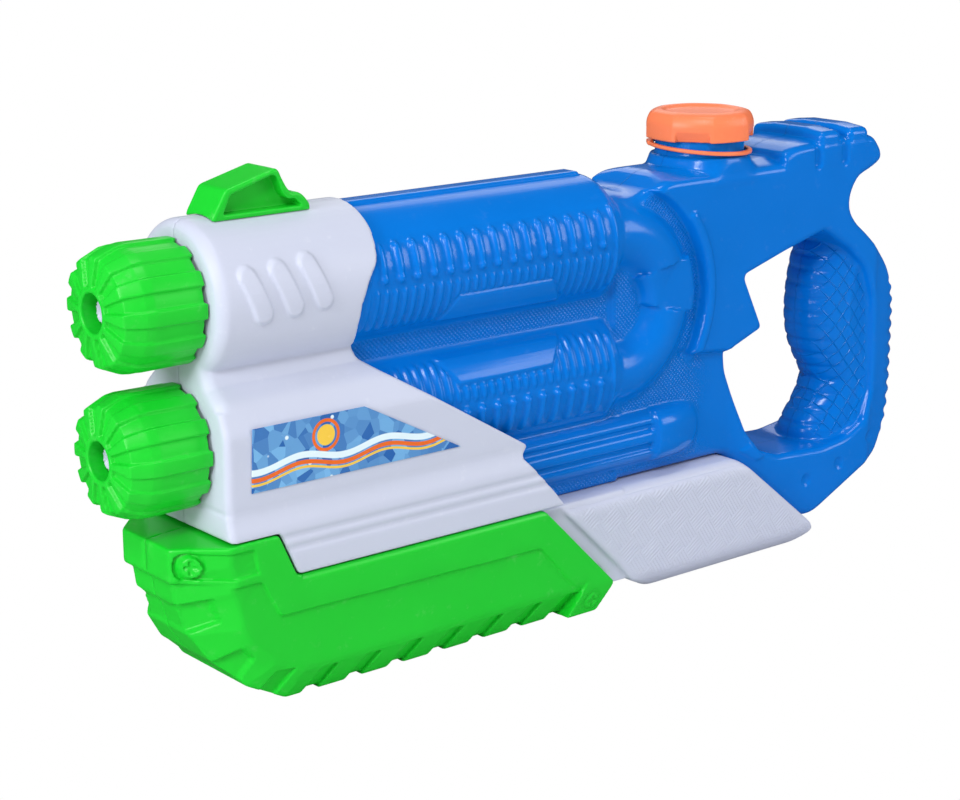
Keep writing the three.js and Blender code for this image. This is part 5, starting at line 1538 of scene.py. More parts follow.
@dataclass(kw_only=True)
class FrontShell(HalfMoulding):
    """White shell round the barrels' front ends.

    Attributes:
        front: x of the nose.
        tail: x of the rear end, at the bottom.
        top_rear: x of the rear end, at the top.
        lobe: radius of the round top.
        half: half-width at the bottom.
        inner: y beyond the seam where the section is closed.
        skirt: level of the lower edge.
        ledge: level of the lower edge at the nose.
        pad_height: height of the three slanted pads.
        collar, collar_at, collar_half: radius, middle x and half-length of the nozzles' collars.
        jet_hole: radius of the holes for the jets.
        side_groove, nose_groove: sections of the grooves.
    """

    title: str = "front_shell"
    node: str = "front_shell"
    screws: str = "shell_screw"
    step: float = 0.75
    post_start: float = 4.4
    front: float = -169.75
    tail: float = -14.75
    top_rear: float = -99.75
    lobe: float = 28.5
    half: float = 31.3
    inner: float = -40.0
    skirt: float = 49.8
    ledge: float = 66.5
    pad_height: float = 1.3
    collar: float = 15.0
    collar_at: float = -171.5
    collar_half: float = 7.2
    jet_hole: float = 6.0
    side_groove: Bead = Bead(1.4, 0.6)
    nose_groove: Bead = Bead(1.4, 0.7)

    def section(self, bottom: float) -> Outline:
        """Outline the right half of the cross-section, in Y and Z.

        Args:
            bottom: level that it goes down to.

        Returns:
            The outline.
        """
        turns = np.linspace(math.pi / 2, math.radians(-54), 26)
        crown = [(self.lobe * math.cos(a), UPPER_AXIS + self.lobe * math.sin(a)) for a in turns]
        ends = [(self.half, bottom), (self.inner, bottom)]
        side = fillet([(18.6, 120.5), (25, 114.8), (29.5, 104), (29.5, 79), (29.2, 75.5), (30.0, 72.0),
                       (self.half, 68)] + ends, 2.0)
        side = [p for p in side if p[0] > 19 and p[1] > bottom + 1]
        return [(self.inner, UPPER_AXIS + self.lobe)] + crown + [(17.6, 122.8)] + side + ends

    def side_outline(self) -> Outline:
        """Outline the shell seen from the side, in X and Z.

        Returns:
            The rounded outline.
        """
        crown = UPPER_AXIS + self.lobe + 4
        corners = [
            (self.front, self.ledge), (-149.1, self.ledge), (-141.6, self.skirt), (self.tail, self.skirt),
            (self.tail - 8.5, self.skirt + 9.7), (-36.0, 72.9), (-32.7, 76.9), (-98, 115.6), (-105.6, 120.9),
            (-106.8, 125.5), (-109.3, 134), (-109.5, 142.7), (-106.4, 151.0), (-101.8, 157.4),
            (self.top_rear, 168), (self.top_rear, crown), (self.front, crown),
        ]
        return fillet(corners, 1.6)

    def relief(self, x: Array, z: Array) -> Array:
        """Measure the pads and grooves on the sides.

        Args:
            x: places along X.
            z: places along Z.

        Returns:
            Heights above the plain side.
        """
        height = 0
        for along, up in ((-154.4, 152.0), (-141.6, 152.9), (-129.2, 153.8)):
            pad = path_distance([(along - 2.6, up + 6.5), (along + 2.6, up - 6.5)], x, z)
            height = height + self.pad_height * ramp(pad, 4.2, 3.0)
        for level in (64.5, 60.0):
            height = height - self.side_groove.over(np.abs(z - level))
        return height

    def outside(self, at: Places) -> Array:
        """Measure the outside of the shell.

        Args:
            at: places to measure.

        Returns:
            Signed distances.
        """
        x, y, z = at
        skin = polygon_distance(self.section(self.skirt - 12), y, z) - self.relief(x, z)
        nose = self.front - x + self.nose_groove.over(np.abs(z - 76.4))
        solid = np.where(z > 112, meet(skin, nose, 5.0), meet(skin, nose, 2.8))
        return meet(solid, polygon_distance(self.side_outline(), x, z), 0.7)

    def distance(self, at: Places) -> Array:
        """Measure the right half, without its screw posts.

        Args:
            at: places to measure.

        Returns:
            Signed distances.
        """
        x, y, z = at
        inside = self.front + self.wall - x
        hollow = meet(polygon_distance(self.section(0), y, z) + self.wall, inside, 1.0)
        mouth = overlap(y - 26.0, z - 78, inside)
        solid = cut(self.outside(at), join(hollow, mouth), 0.7)
        for axis in (UPPER_AXIS, LOWER_AXIS):
            reach = np.hypot(y, z - axis)
            lip = ramp(x, -176.4, -176.9)
            collar = meet(reach - self.collar - lip, slab(x, self.collar_at, self.collar_half), 0.4)
            solid = cut(join(solid, collar), np.maximum(reach - self.jet_hole, x + 150), 0.3)
        return np.maximum(solid, SEAM_GAP - y)

    def build(self) -> None:
        """Build, dress and seat both halves."""
        grid = Lattice.over((self.front - 10, 0.1, 48), (self.tail + 1, 31.5, 177), self.step)
        self.form_halves(grid, self.distance(grid.places), self.outside(grid.places))


@dataclass(frozen=True)
class MouldedScrew:
    """Screw head moulded into a face: a raised disc in a ring groove, with a cross.

    Attributes:
        along, up: x and z of its middle.
        size: radius of the disc.
        rise: height of the disc.
        stretch: how much a slanted face shortens X.
    """

    along: float
    up: float
    size: float
    rise: float
    stretch: float = 1.0

    def height(self, x: Array, z: Array) -> Array:
        """Measure the head.

        Args:
            x: places along X.
            z: places along Z.

        Returns:
            Heights above the face.
        """
        across, up = (x - self.along) * self.stretch, z - self.up
        reach, arm = np.hypot(across, up), self.size * 0.5
        ring = Bead(1.0, 0.5).over(np.abs(reach - self.size - 0.9))
        disc = self.rise * ramp(reach, self.size, self.size - 0.6) - ring
        cross = np.minimum(np.hypot(across, between(up, -arm, arm)), np.hypot(up, between(across, -arm, arm)))
        return disc - Bead(1.0, 0.9).over(cross)


@dataclass(kw_only=True)
class PumpGrip(HalfMoulding):
    """Green pump grip with its treads, recessed panels and strap bands.

    Attributes:
        front, rear: x of its ends at the top.
        ear_rear: x where the raised front ends.
        ear_top: level of the raised front.
        rail_top: level of the top behind it.
        half: half-width.
        floor: thickness of the bottom.
        notch_first, notch_pitch, notches: x of the first tread, the step and the number.
        panel_depth: depth of the sunk panel and the strap bands.
        pad_depth: depth of the pads on the front corners.
        rod_hole, head_hole: radii of the seats of the pump rod and of its head.
    """

    title: str = "pump_grip"
    node: str = "grip"
    screws: str = "grip_screw"
    body: Body = Body.PUMP
    slot: Slot = Slot.GREEN
    step: float = 0.6
    front: float = -185.75
    rear: float = -25.5
    ear_rear: float = -149.75
    ear_top: float = 65.9
    rail_top: float = 49.5
    half: float = 31.5
    floor: float = 5.2
    notch_first: float = -143.1
    notch_pitch: float = 19.7
    notches: int = 8
    panel_depth: float = 1.3
    pad_depth: float = 1.9
    rod_hole: float = 4.4
    head_hole: float = 8.3

    def outline(self) -> Outline:
        """Outline the grip seen from the side, in X and Z.

        Returns:
            The rounded outline.
        """
        front, heel = self.front, self.rear + 37.7
        corners = [
            (front, self.ear_top - 1.6), (front, 51.7), (front + 2.2, 50.7), (front + 3.4, 42.4),
            (front + 5.2, 40.6), (front + 8.0, 32.2), (front + 7.8, 30.4), (front + 14.5, 20),
            (front + 24.5, 11.2), (front + 26.5, 8.5), (front + 43, 0), (heel - 7, 0), (heel, 11.8),
            (self.rear, self.rail_top), (self.ear_rear + 7.5, self.rail_top), (self.ear_rear, self.ear_top),
            (front + 22, self.ear_top),
        ]
        return fillet(corners, 1.3)

    def bevel(self, at: Places) -> Array:
        """Measure the bevel that runs round the front and the bottom.

        Args:
            at: places to measure.

        Returns:
            Signed distances.
        """
        x, y, z = at
        run = [p for p in self.outline() if p[1] < 4 or (p[0] < self.front + 40 and p[1] < 60)]
        depth = path_distance([(self.front, 90)] + run + [(60, 0)], x, z)
        levels = [0, 10, 20, 30, 40, 50.8, 51.5]
        corner = np.interp(z, levels, [22.5, 20, 16.8, 14.4, 13.2, 13.2, 15.6])
        slope = np.interp(z, levels, [0.61, 0.8, 1.06, 1.25, 1.23, 1.2, 1.0])
        straight = ramp(x, -172, -150)
        corner = corner + (22.5 - corner) * straight
        slope = slope + (0.61 - slope) * straight
        bevel = (y - corner - slope * np.minimum(depth, 19)) / np.hypot(1, slope)
        heel = (y - self.half + 0.32 * np.maximum(11 - z, -4)) / 1.05
        return np.minimum(bevel, np.maximum(heel, self.rear + 15.2 + 0.478 * z - x))

    def face_relief(self, x: Array, z: Array) -> Array:
        """Measure the sunk panel and the strap's end on the side face.

        Args:
            x: places along X.
            z: places along Z.

        Returns:
            Heights above the plain face.
        """
        field = fillet([(-157.3, 50.4), (-149.6, 35.8), (-27.2, 34.4), (-6.2, 10.8), (-15.6, -9), (-200, -9),
                        (-200, 50.4)], 1.6)
        strap = fillet([(-178, 53), (-158.4, 53.6), (-160.2, 63), (-178, 63)], 0.8)
        return panel(field, x, z, -self.panel_depth) + panel(strap, x, z, -self.panel_depth)

    def bevel_relief(self, x: Array, z: Array) -> Array:
        """Measure the strap, the moulded screws and the front pads on the bevel.

        Args:
            x: places along X.
            z: places along Z.

        Returns:
            Heights above the plain bevel.
        """
        strap = fillet([(-184.6, 53), (-164, 53), (-164, 63), (-184.6, 63)], 3.6)
        height = panel(strap, x, z, -self.panel_depth)
        pads = (
            [(-190, 40.5), (-182.2, 42.0), (-173.2, 45.6), (-170.2, 36.2), (-177.6, 31.0), (-190, 25)],
            [(-182, 14), (-169.8, 19), (-163.4, 25.6), (-158.8, 20.8), (-161.3, 11.2), (-172, 0)],
        )
        for corners in pads:
            height = height + panel(fillet(corners, 0.7), x, z, -self.pad_depth)
        for screw in (MouldedScrew(-180.0, 57.8, 4.3, 1.5, 1.41), MouldedScrew(1.4, 5.6, 3.3, 0.3)):
            height = height + screw.height(x, z)
        return height

    def envelope(self, at: Places, moulded: bool = False) -> Array:
        """Measure the outside.

        Args:
            at: places to measure.
            moulded: whether the sunk and raised mouldings count.

        Returns:
            Signed distances.
        """
        x, y, z = at
        face, bevel = y - self.half, self.bevel(at)
        if moulded:
            face = face - self.face_relief(x, z)
            bevel = bevel - self.bevel_relief(x, z)
        shoulder = np.maximum((y - 30.0 + (z - self.rail_top)) / math.sqrt(2), self.ear_rear + 7.5 - x)
        edge = meet(face, bevel, 1.0)
        edge = np.where(x > self.ear_rear + 9, meet(edge, shoulder, 1.0), edge)
        return meet(edge, polygon_distance(self.outline(), x, z), 0.8)

    def treads(self, x: Array, z: Array) -> Array:
        """Measure the slanted notches along the lower edge, seen from the side.

        Args:
            x: places along X.
            z: places along Z.

        Returns:
            Signed distances.
        """
        slots = []
        for i in range(self.notches):
            end = self.notch_first + i * self.notch_pitch
            top = 13.8 if i == 0 else 10.8
            corners = [(end - 14.6, -3), (end - 6.6, -3), (end, top), (end - 6.8, top)]
            slots.append(polygon_distance(corners, x, z))
        return reduce(np.minimum, slots)

    def outside(self, at: Places) -> Array:
        """Measure the outside with its mouldings and treads.

        Args:
            at: places to measure.

        Returns:
            Signed distances.
        """
        keep = np.maximum(self.bevel(at) + 1.6, 1.5 - at.z)
        notch = np.maximum(self.treads(at.x, at.z), -keep)
        return cut(self.envelope(at, moulded=True), notch, 0.5)

    def hollow(self, at: Places) -> Array:
        """Measure the trough for the rail and the space in the front bumper.

        Args:
            at: places to measure.

        Returns:
            Signed distances.
        """
        x, y, z = at
        side = y - self.half + self.wall
        low = slanted(y, z, (31.5, 15), 15, 9) + 4.5
        trough = overlap(self.floor - z, side, low, self.ear_rear + 9.7 - x)
        end = polygon_distance(self.outline(), x, z) + self.floor
        bumper = overlap(end, self.bevel(at) + self.wall + 2.4, side, low)
        return join(trough, bumper)

    def distance(self, at: Places) -> Array:
        """Measure the right half, without its screw posts.

        Args:
            at: places to measure.

        Returns:
            Signed distances.
        """
        x, y, z = at
        solid = cut(self.outside(at), self.hollow(at), 0.6)
        level = z - ROD_LEVEL
        block = overlap(np.abs(x - self.front - 17) - 15, y - 11.3, np.abs(level) - 11.3, self.envelope(at))
        reach = np.hypot(y, level)
        head = np.maximum(reach - self.head_hole, np.abs(x - self.front - 26.3) - 2.3)
        solid = cut(join(solid, block), join(head, np.maximum(reach - self.rod_hole, -160 - x)), 0.3)
        lug = overlap(slab(x, -31.5, 12), slab(y, 26.6, 2.5), np.abs(level) - 2.2)
        return np.maximum(join(solid, lug, 0.4), SEAM_GAP - y)

    def build(self) -> None:
        """Build, dress and seat both halves."""
        grid = Lattice.over((self.front, 0.1, 0), (self.rear + 38, 31.6, self.ear_top), self.step)
        self.form_halves(grid, self.distance(grid.places), self.envelope(grid.places))


@dataclass(kw_only=True)
class Keel(HalfMoulding):
    """White keel: the rail under the shell and the woven block behind it.

    Attributes:
        rail_front: x of the rail's front end.
        deck: level of the top.
        rail_half, block_half: half-widths of the rail and the block.
        block_front, block_rear: x of the block's ends at the top.
    """

    title: str = "keel"
    node: str = "keel"
    screws: str = "keel_screw"
    step: float = 0.85
    triangles: int = 40000
    rail_front: float = -137.75
    deck: float = 47.7
    rail_half: float = 26.0
    block_half: float = 28.0
    block_front: float = -15.0
    block_rear: float = 88.0

    def block_outline(self) -> Outline:
        """Outline the block seen from the side, in X and Z.

        Returns:
            The rounded outline.
        """
        front, rear = self.block_front, self.block_rear
        corners = [(front, self.deck), (front + 35, 13.8), (front + 40, 8), (front + 56, 0), (rear + 42.5, 0),
                   (rear + 49, 4.5), (rear + 46.5, 10), (rear + 12, 38), (rear, self.deck)]
        return fillet(corners, 4.0)

    def shapes(self, at: Places) -> tuple[Array, Array]:
        """Measure the outside and the inside hollow.

        Args:
            at: places to measure.

        Returns:
            Signed distances of both.
        """
        x, y, z = at
        low = slanted(y, z, (self.rail_half, 18.5), 11, 8.5)
        section = meet(meet(y - self.rail_half, low, 1.0), slab(z, 27.6, 20.1), 1.0)
        ends = np.maximum(self.rail_front - x, x - self.block_front - 37)
        low_block = slanted(y, z, (self.block_half, 8), 8, 8)
        side = polygon_distance(self.block_outline(), x, z)
        rim = (y - self.block_half + 3.4 + 0.8 * (z - self.deck)) / math.hypot(1, 0.8)
        block = meet(meet(meet(y - self.block_half, low_block, 2.0), rim, 1.2), side, 1.6)
        hollow = join(np.maximum(section, ends) + self.wall,
                      overlap(y - self.block_half, low_block, side) + self.wall)
        plate = overlap(y - self.rail_half, slab(z, 17, 8), x - self.block_front - 45.5,
                        (self.block_front + 40.8 - x - z) / math.sqrt(2))
        return join(join(meet(section, ends, 1.0), plate), block, 0.6), hollow

    def distance(self, at: Places) -> Array:
        """Measure the right half, without its screw posts.

        Args:
            at: places to measure.

        Returns:
            Signed distances.
        """
        x, y, z = at
        solid = cut(*self.shapes(at), 0.4)
        tongue = overlap(slab(x, -92.75, 23), y - 4, slab(z, 54, 9))
        solid = join(solid, tongue, 0.4)
        mouth = np.maximum(np.hypot(y, z - ROD_LEVEL) - 13.6, x - self.rail_front - 5)
        inlet = np.maximum(np.hypot(x - 34, y) - 7.8, 40 - z)
        hose = overlap(slab(x, -123.3, 12), slab(y, 14, 7), 34 - z)
        slot = overlap(slab(x, -74, 54.8), 22 - y, slab(z, ROD_LEVEL, 2.5), y - 27)
        for opening in (mouth, inlet, hose, slot):
            solid = cut(solid, opening, 0.4)
        return np.maximum(solid, SEAM_GAP - y)

    def weave_zone(self, places: Array, normals: Array) -> Array:
        """Find where the weave covers the block's sides.

        Args:
            places: the piece's vertices.
            normals: their normals.

        Returns:
            1 in the zone, 0 outside it.
        """
        x, y, z = places.T
        inside = -polygon_distance(self.block_outline(), x, z)
        return ramp(np.abs(normals[:, 1]), 0.7, 0.9) * ramp(np.abs(y), 26.9, 27.5) * ramp(inside, 2.0, 3.5)

    def build(self) -> None:
        """Build, dress and seat both halves."""
        grid = Lattice.over((self.rail_front, 0.1, 0), (self.block_rear + 50, 28.2, 63), self.step)
        outside, _ = self.shapes(grid.places)
        for piece in self.form_halves(grid, self.distance(grid.places), outside):
            store(piece, "weave_zone", self.weave_zone)


@dataclass(kw_only=True)
class NozzleCap(Moulding):
    """Green nozzle cap with twelve lands that run over its front face.

    Attributes:
        axis: level of its axis.
        body: body that it rides on.
        node: CAD node that it stands for.
        nose: x of its front.
        length: how far back it reaches.
        radius: radius over the lands.
        lands: number of lands.
        groove: depth between them.
        hole: radius of the hole for the jet.
        sleeve: radius of the bore that turns on the shell's collar.
    """

    axis: float
    body: Body
    node: str
    nose: float = -202.75
    length: float = 32.6
    radius: float = 22.8
    lands: int = 12
    groove: float = 1.0
    hole: float = 7.0
    sleeve: float = 16.4

    def distance(self, at: Places) -> Array:
        """Measure the half of the cap with y > 0.

        Args:
            at: places to measure.

        Returns:
            Signed distances.
        """
        up, along = at.z - self.axis, at.x - self.nose
        reach = np.hypot(at.y, up)
        pitch = math.tau / self.lands
        turn = np.abs(nearest(np.arctan2(up, at.y), 0.0, pitch)) - pitch / 4
        valley = ramp(turn * np.maximum(reach, 1), -0.22, 0.22)
        profile = [(-30, 0), (self.hole + 3, 0), (19.2, 1.5), (22.3, 9.0), (self.radius, 12.5),
                   (self.radius - 0.2, self.length), (-30, self.length)]
        depth = self.groove * (1 + 0.5 * ramp(along, 6.0, 1.0))
        solid = polygon_distance(fillet(profile, 0.5, 2), reach, along)
        solid = solid + depth * valley * ramp(reach, self.hole + 1.8, self.hole + 2.6)
        bore = np.maximum(reach - self.hole, along - 26)
        sleeve = np.maximum(reach - self.sleeve, 23.8 - along)
        hollow = np.maximum(slab(reach, 19.6, 1.0), 15.8 - along)
        return cut(cut(cut(solid, bore, 0.7), sleeve, 0.3), hollow, 0.3)

    def build(self) -> None:
        """Build, dress and seat the cap."""
        low, high = (self.nose, 0, self.axis - 25), (self.nose + self.length, 25, self.axis + 25)
        grid = Lattice.over(low, high, self.step)
        skin = grid.mirrored_skin(self.distance(grid.places))
        self.form(f"{self.node}_lands", skin, self.body, Slot.GREEN, self.node)


@dataclass(kw_only=True)
class NozzleJet(Moulding):
    """White jet tube that shows in a nozzle cap's hole.

    Attributes:
        axis: level of its axis.
        node: CAD node that it stands for.
        front, rear: x of its ends.
        tip, swell: radius at the tip, and how much more the tube has behind it.
        flange, bore: radii of the flange and of the water's bore.
    """

    axis: float
    node: str
    front: float = -198.75
    rear: float = -149.75
    tip: float = 4.2
    swell: float = 1.5
    flange: float = 9.0
    bore: float = 2.2
    triangles: int = 9000

    def build(self) -> None:
        """Build, dress and seat the tube."""
        grid = Lattice.over((self.front, 0, self.axis - 9), (self.rear, 9, self.axis + 9), self.step)
        x, y, z = grid.places
        reach = np.hypot(y, z - self.axis)
        side = reach - self.tip - self.swell * ramp(x, self.front + 3, self.front + 9)
        tube = meet(side, np.maximum(self.front - x, x - self.rear), 0.5)
        flange = meet(reach - self.flange, slab(x, -171.35, 1.0), 0.3)
        cup = reach - self.bore - 1.8 * ramp(x, self.front + 3.2, self.front)
        socket = np.maximum(reach - 4.3, self.rear - 6 - x)
        solid = cut(cut(join(tube, flange), cup, 0.3), socket, 0.2)
        skin = grid.mirrored_skin(solid)
        self.form(f"{self.node}_tube", skin, Body.SQUIRTER, Slot.WHITE, self.node)


@dataclass(kw_only=True)
class FrontSight(Moulding):
    """Green wedge sight with an open pocket in each side.

    Attributes:
        front: x of its front.
        length: its length.
        half: half-width.
        seat_top: level of the shell's crown under it.
        rise: how far it stands above that.
        seat_radius: radius of the shell that it sits on.
        pocket_depth: depth of the pockets.
    """

    front: float = -158.85
    length: float = 41.0
    half: float = 9.0
    seat_top: float = 176.5
    rise: float = 14.2
    seat_radius: float = 28.7
    pocket_depth: float = 5.0
    step: float = 0.4
    triangles: int = 22000

    def build(self) -> None:
        """Build, dress and seat the sight."""
        x0, base, top = self.front, self.seat_top, self.seat_top + self.rise
        grid = Lattice.over((x0, 0, base - 5), (x0 + self.length, self.half, top + 1), self.step)
        x, y, z = grid.places
        outline = fillet([
            (x0, base - 8), (x0 + self.length, base - 8), (x0 + self.length, base + 1), (x0 + 38, base + 4.5),
            (x0 + 35.5, base + 5.8), (x0 + 33, base + 5.7), (x0 + 31, base + 8), (x0 + 29, top - 2.6),
            (x0 + 28, top - 0.2), (x0 + 26.5, top + 0.8), (x0 + 5.6, base + 9.4), (x0, base)], 1.3)
        pocket = fillet([
            (x0 + 4.4, base + 0.7), (x0 + 37.5, base + 0.7), (x0 + 34.8, base + 3.4), (x0 + 31.5, base + 3.6),
            (x0 + 29.4, base + 5.8), (x0 + 26.8, top - 2.1), (x0 + 25.2, top - 1.4),
            (x0 + 7.6, base + 7.4)], 1.0)
        solid = meet(polygon_distance(outline, x, z), y - self.half, 1.1)
        opening = np.maximum(polygon_distance(pocket, x, z), self.half - self.pocket_depth - y)
        solid = meet(cut(solid, opening, 0.5), self.seat_radius - np.hypot(y, z - UPPER_AXIS), 0.4)
        tongue = overlap(np.abs(x - x0 - 20.5) - 10, y - 2.5, np.abs(z - base + 1.5) - 2.5)
        skin = grid.mirrored_skin(join(solid, tongue, 0.3))
        self.form("front_sight_wedge", skin, Body.SQUIRTER, Slot.GREEN, "front_sight")


@dataclass(kw_only=True)
class FillerCap(Moulding):
    """Orange screw cap with a dished top and eight shallow finger flats.

    Attributes:
        neck: x of its axis.
        bottom, top: its levels.
        radius: radius over the corners of the flats.
        flats: number of flats.
        turn: angle of the first flat in degrees.
        notch: height of the notches under every other flat.
        dish: depth of the dished top.
        bore: radius of the hollow that takes the neck.
    """

    neck: float
    bottom: float = 182.1
    top: float = 193.9
    radius: float = 22.2
    flats: int = 8
    turn: float = 37.0
    notch: float = 4.4
    dish: float = 1.4
    bore: float = 19.3
    triangles: int = 34000

    def build(self) -> None:
        """Build, dress and seat the cap."""
        edge = self.radius + 0.3
        low, high = (self.neck - edge, -edge, self.bottom), (self.neck + edge, edge, self.top)
        grid = Lattice.over(low, high, self.step)
        x, y, z = grid.places
        reach, angle = np.hypot(x - self.neck, y), np.arctan2(y, x - self.neck)
        first, pitch = math.radians(self.turn), math.tau / self.flats
        skirt = reach * (0.62 + 0.38 * np.cos(nearest(angle, first, pitch))) - self.radius + 0.1
        across = np.abs(nearest(angle, first, 2 * pitch)) * reach
        notch = np.clip(self.bottom + self.notch - z, 0, self.notch) * 0.5 * ramp(across, 7.4, 6.4)
        dish = self.dish * ramp(reach, 17.0, 13.0)
        shoulder = (skirt + 1.1 * (z - self.top + 2.6)) / 1.49
        solid = meet(meet(skirt + notch, shoulder, 2.4), z - self.top + dish, 2.0)
        solid = meet(solid, self.bottom - z, 0.5)
        hollow = np.maximum(reach - self.bore, z - self.top + 3.6)
        skin = grid.skin(cut(solid, hollow, 0.3))
        self.form("filler_cap_moulded", skin, Body.CAP, Slot.ORANGE, "filler_cap")


@dataclass(kw_only=True)
class CapTether(Moulding):
    """Thin orange loop round the neck, high under the cap's front and low behind.

    Attributes:
        neck: x of its axis.
        low, high: levels of its underside at its lowest and highest place.
        middle: radius of its middle line.
        half_width, half_height: half-sizes of its section.
        lean: angle of its highest place in degrees.
    """

    neck: float
    low: float = 175.8
    high: float = 179.0
    middle: float = 20.7
    half_width: float = 1.1
    half_height: float = 0.8
    lean: float = 140.0
    step: float = 0.36
    triangles: int = 14000

    def build(self) -> None:
        """Build, dress and seat the loop."""
        edge = self.middle + self.half_width
        low = (self.neck - edge - 2, -edge - 2, self.low)
        high = (self.neck + edge + 2, edge + 2, self.high + 2.0)
        grid = Lattice.over(low, high, self.step)
        x, y, z = grid.places
        away = x - self.neck
        lean = math.radians(self.lean)
        reach = away * math.cos(lean) + y * math.sin(lean)
        side = np.abs(y * math.cos(lean) - away * math.sin(lean))
        level = z - self.low - self.half_height - (self.high - self.low) * (1 + reach / edge) / 2
        band = np.abs(np.hypot(away, y) - self.middle) - self.half_width
        loop = meet(band, np.abs(level) - self.half_height, 0.5)
        tab = np.maximum(side - 4, np.abs(z - self.high - 0.9) - 0.9)
        tab = meet(np.abs(reach - edge + 1.2) - 1.4, tab, 0.6)
        skin = grid.skin(join(loop, tab, 0.4))
        self.form("cap_tether_loop", skin, Body.TETHER, Slot.ORANGE, "cap_tether")


@dataclass
class CarriedParts:
    """CAD nodes that keep their own solids and take a finish.

    Attributes:
        palette: materials by slot.
        frame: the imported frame.
    """

    palette: Palette
    frame: dict

    def dress(self) -> None:
        """Give every node of the frame the material of its record slot."""
        for row in self.frame["record"]["subparts"]:
            node = self.frame["nodes"][row["node"]]
            material = self.palette[Slot(row["material_slot"])]
            if not node.material_slots:
                node.data.materials.append(material)
            for slot in node.material_slots:
                slot.material = material
            log.info("%s: solid finished as %s", row["node"], material.name)


@dataclass(frozen=True)
class Lamp:
    """Square lamp that faces the squirter.

    Attributes:
        name: name of the lamp.
        place: where it hangs, in metres.
        size: length of its side in metres.
        power: power in watts.
    """

    name: str
    place: tuple[float, float, float]
    size: float
    power: float

    def build(self) -> None:
        """Hang the lamp and turn it to a place a little above the floor's middle."""
        light = bpy.data.lights.new(self.name, "AREA")
        light.size = self.size
        light.energy = self.power
        holder = bpy.data.objects.new(self.name, light)
        holder.location = self.place
        aim = -np.array(self.place) + np.array([0, 0, 0.1])
        tilt = math.atan2(math.hypot(aim[0], aim[1]), -aim[2])
        holder.rotation_euler = (tilt, 0, math.atan2(-aim[0], aim[1]))
        bpy.context.scene.collection.objects.link(holder)


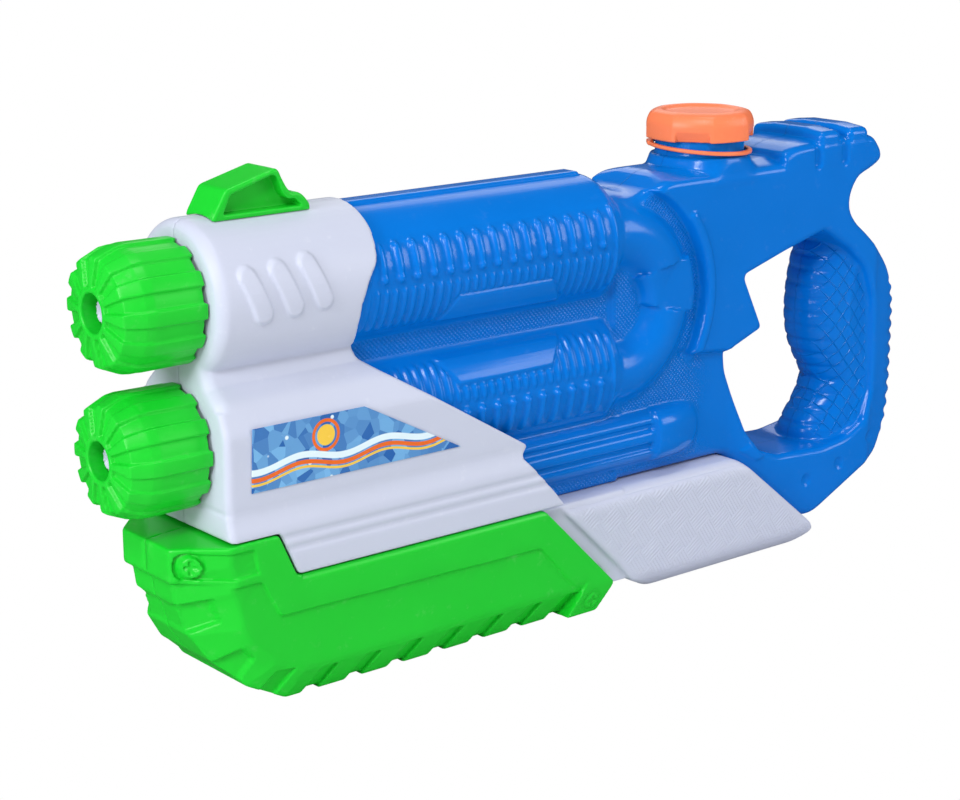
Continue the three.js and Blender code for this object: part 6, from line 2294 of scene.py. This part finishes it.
@dataclass
class Studio:
    """Floor, soft light and the camera at the photograph's angle.

    Attributes:
        floor_reach: how far the floor runs each way, in metres.
        floor_glow: how bright reflections show it.
        ambient: light of the world on the squirter.
        ambient_glossy: light of the world in its reflections.
        lens, sensor: focal length and sensor width in millimetres.
        camera_at: place of the camera in millimetres.
        camera_tilt, camera_turn: its angles in degrees.
    """

    floor_reach: float = 6.0
    floor_glow: float = 0.05
    ambient: float = 0.38
    ambient_glossy: float = 0.04
    lens: float = 80.25
    sensor: float = 36.0
    camera_at: tuple[float, float, float] = (-549.45, -626.5, 306.7)
    camera_tilt: float = 74.985
    camera_turn: float = -39.52

    def build(self) -> None:
        """Set up the floor, the lamps, the world and the camera."""
        self._floor()
        self._lamps()
        self._world()
        self._camera()

    def _floor(self) -> None:
        """Lay a plain pale floor under the squirter, white to the camera and dim in reflections."""
        far = self.floor_reach
        mesh = bpy.data.meshes.new("floor")
        mesh.from_pydata([(-far, -far, 0), (far, -far, 0), (far, far, 0), (-far, far, 0)], [], [(0, 1, 2, 3)])
        floor = bpy.data.objects.new("floor", mesh)
        floor.location.z = -0.2 * MM
        bpy.context.scene.collection.objects.link(floor)
        material, graph, shader = new_material("floor_white")
        shader.inputs["Base Color"].default_value = (0.9, 0.9, 0.9, 1.0)
        shader.inputs["Roughness"].default_value = 0.8
        path = graph.add("LightPath")
        surface = shader.outputs[0]
        for ray, strength in (("Is Glossy Ray", self.floor_glow), ("Is Camera Ray", 1.0)):
            glow = graph.add("Emission", {"Color": WHITE, "Strength": strength}).outputs[0]
            surface = graph.add("MixShader", {0: path.outputs[ray], 1: surface, 2: glow}).outputs[0]
        graph.put(surface, material.node_tree.nodes["Material Output"].inputs["Surface"])
        mesh.materials.append(material)

    @staticmethod
    def _lamps() -> None:
        """Hang the soft lamps round the squirter."""
        lamps = (
            Lamp("key", (-1.35, -1.3, 1.8), 0.45, 21.0),
            Lamp("fill", (1.6, -1.6, 0.9), 0.9, 12.5),
            Lamp("front", (-2.0, -0.3, 0.8), 0.7, 24.0),
            Lamp("top", (0.2, -0.3, 2.3), 0.5, 10.5),
            Lamp("back", (1.5, 1.6, 1.4), 1.2, 8.0),
        )
        for lamp in lamps:
            lamp.build()

    def _world(self) -> None:
        """Light the scene evenly, with a white background to the camera."""
        world = bpy.data.worlds.new("studio")
        world.use_nodes = True
        bpy.context.scene.world = world
        graph = Graph(world.node_tree)
        back = world.node_tree.nodes["Background"]
        back.inputs["Color"].default_value = WHITE
        path = graph.add("LightPath")
        strength = graph.math("MULTIPLY_ADD", path.outputs["Is Camera Ray"], 1 - self.ambient, self.ambient)
        change = self.ambient_glossy - self.ambient
        strength = graph.math("MULTIPLY_ADD", path.outputs["Is Glossy Ray"], change, strength)
        graph.put(strength, back.inputs["Strength"])

    def _camera(self) -> None:
        """Place the camera."""
        data = bpy.data.cameras.new("photo_camera")
        data.sensor_fit = "HORIZONTAL"
        data.sensor_width = self.sensor
        data.lens = self.lens
        data.clip_start = 0.05
        camera = bpy.data.objects.new("photo_camera", data)
        camera.location = tuple(c * MM for c in self.camera_at)
        camera.rotation_euler = (math.radians(self.camera_tilt), 0.0, math.radians(self.camera_turn))
        bpy.context.scene.collection.objects.link(camera)
        bpy.context.scene.camera = camera
        bpy.context.scene.view_settings.view_transform = "Standard"


def main() -> None:
    """Build every sub-assembly on the frame."""
    logging.basicConfig(level=logging.INFO, format="%(name)s: %(message)s")
    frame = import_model()
    palette = Palette()
    Studio().build()
    CarriedParts(palette, frame).dress()
    tank_high = node_box("water_tank")[1]
    cap_low, cap_high = node_box("filler_cap")
    neck = float(cap_low[0] + cap_high[0]) / 2
    WaterTank(palette=palette, back=float(tank_high[0]), neck=neck).build()
    FrontShell(palette=palette, frame=frame).build()
    PumpGrip(palette=palette, frame=frame).build()
    Keel(palette=palette, frame=frame).build()
    nozzles = ((UPPER_AXIS, Body.NOZZLE_UPPER, "upper"), (LOWER_AXIS, Body.NOZZLE_LOWER, "lower"))
    for axis, body, place in nozzles:
        NozzleCap(palette=palette, axis=axis, body=body, node=f"nozzle_cap_{place}").build()
        NozzleJet(palette=palette, axis=axis, node=f"nozzle_jet_{place}").build()
    FrontSight(palette=palette).build()
    FillerCap(palette=palette, neck=neck).build()
    CapTether(palette=palette, neck=neck).build()


if __name__ == "__main__":
    main()
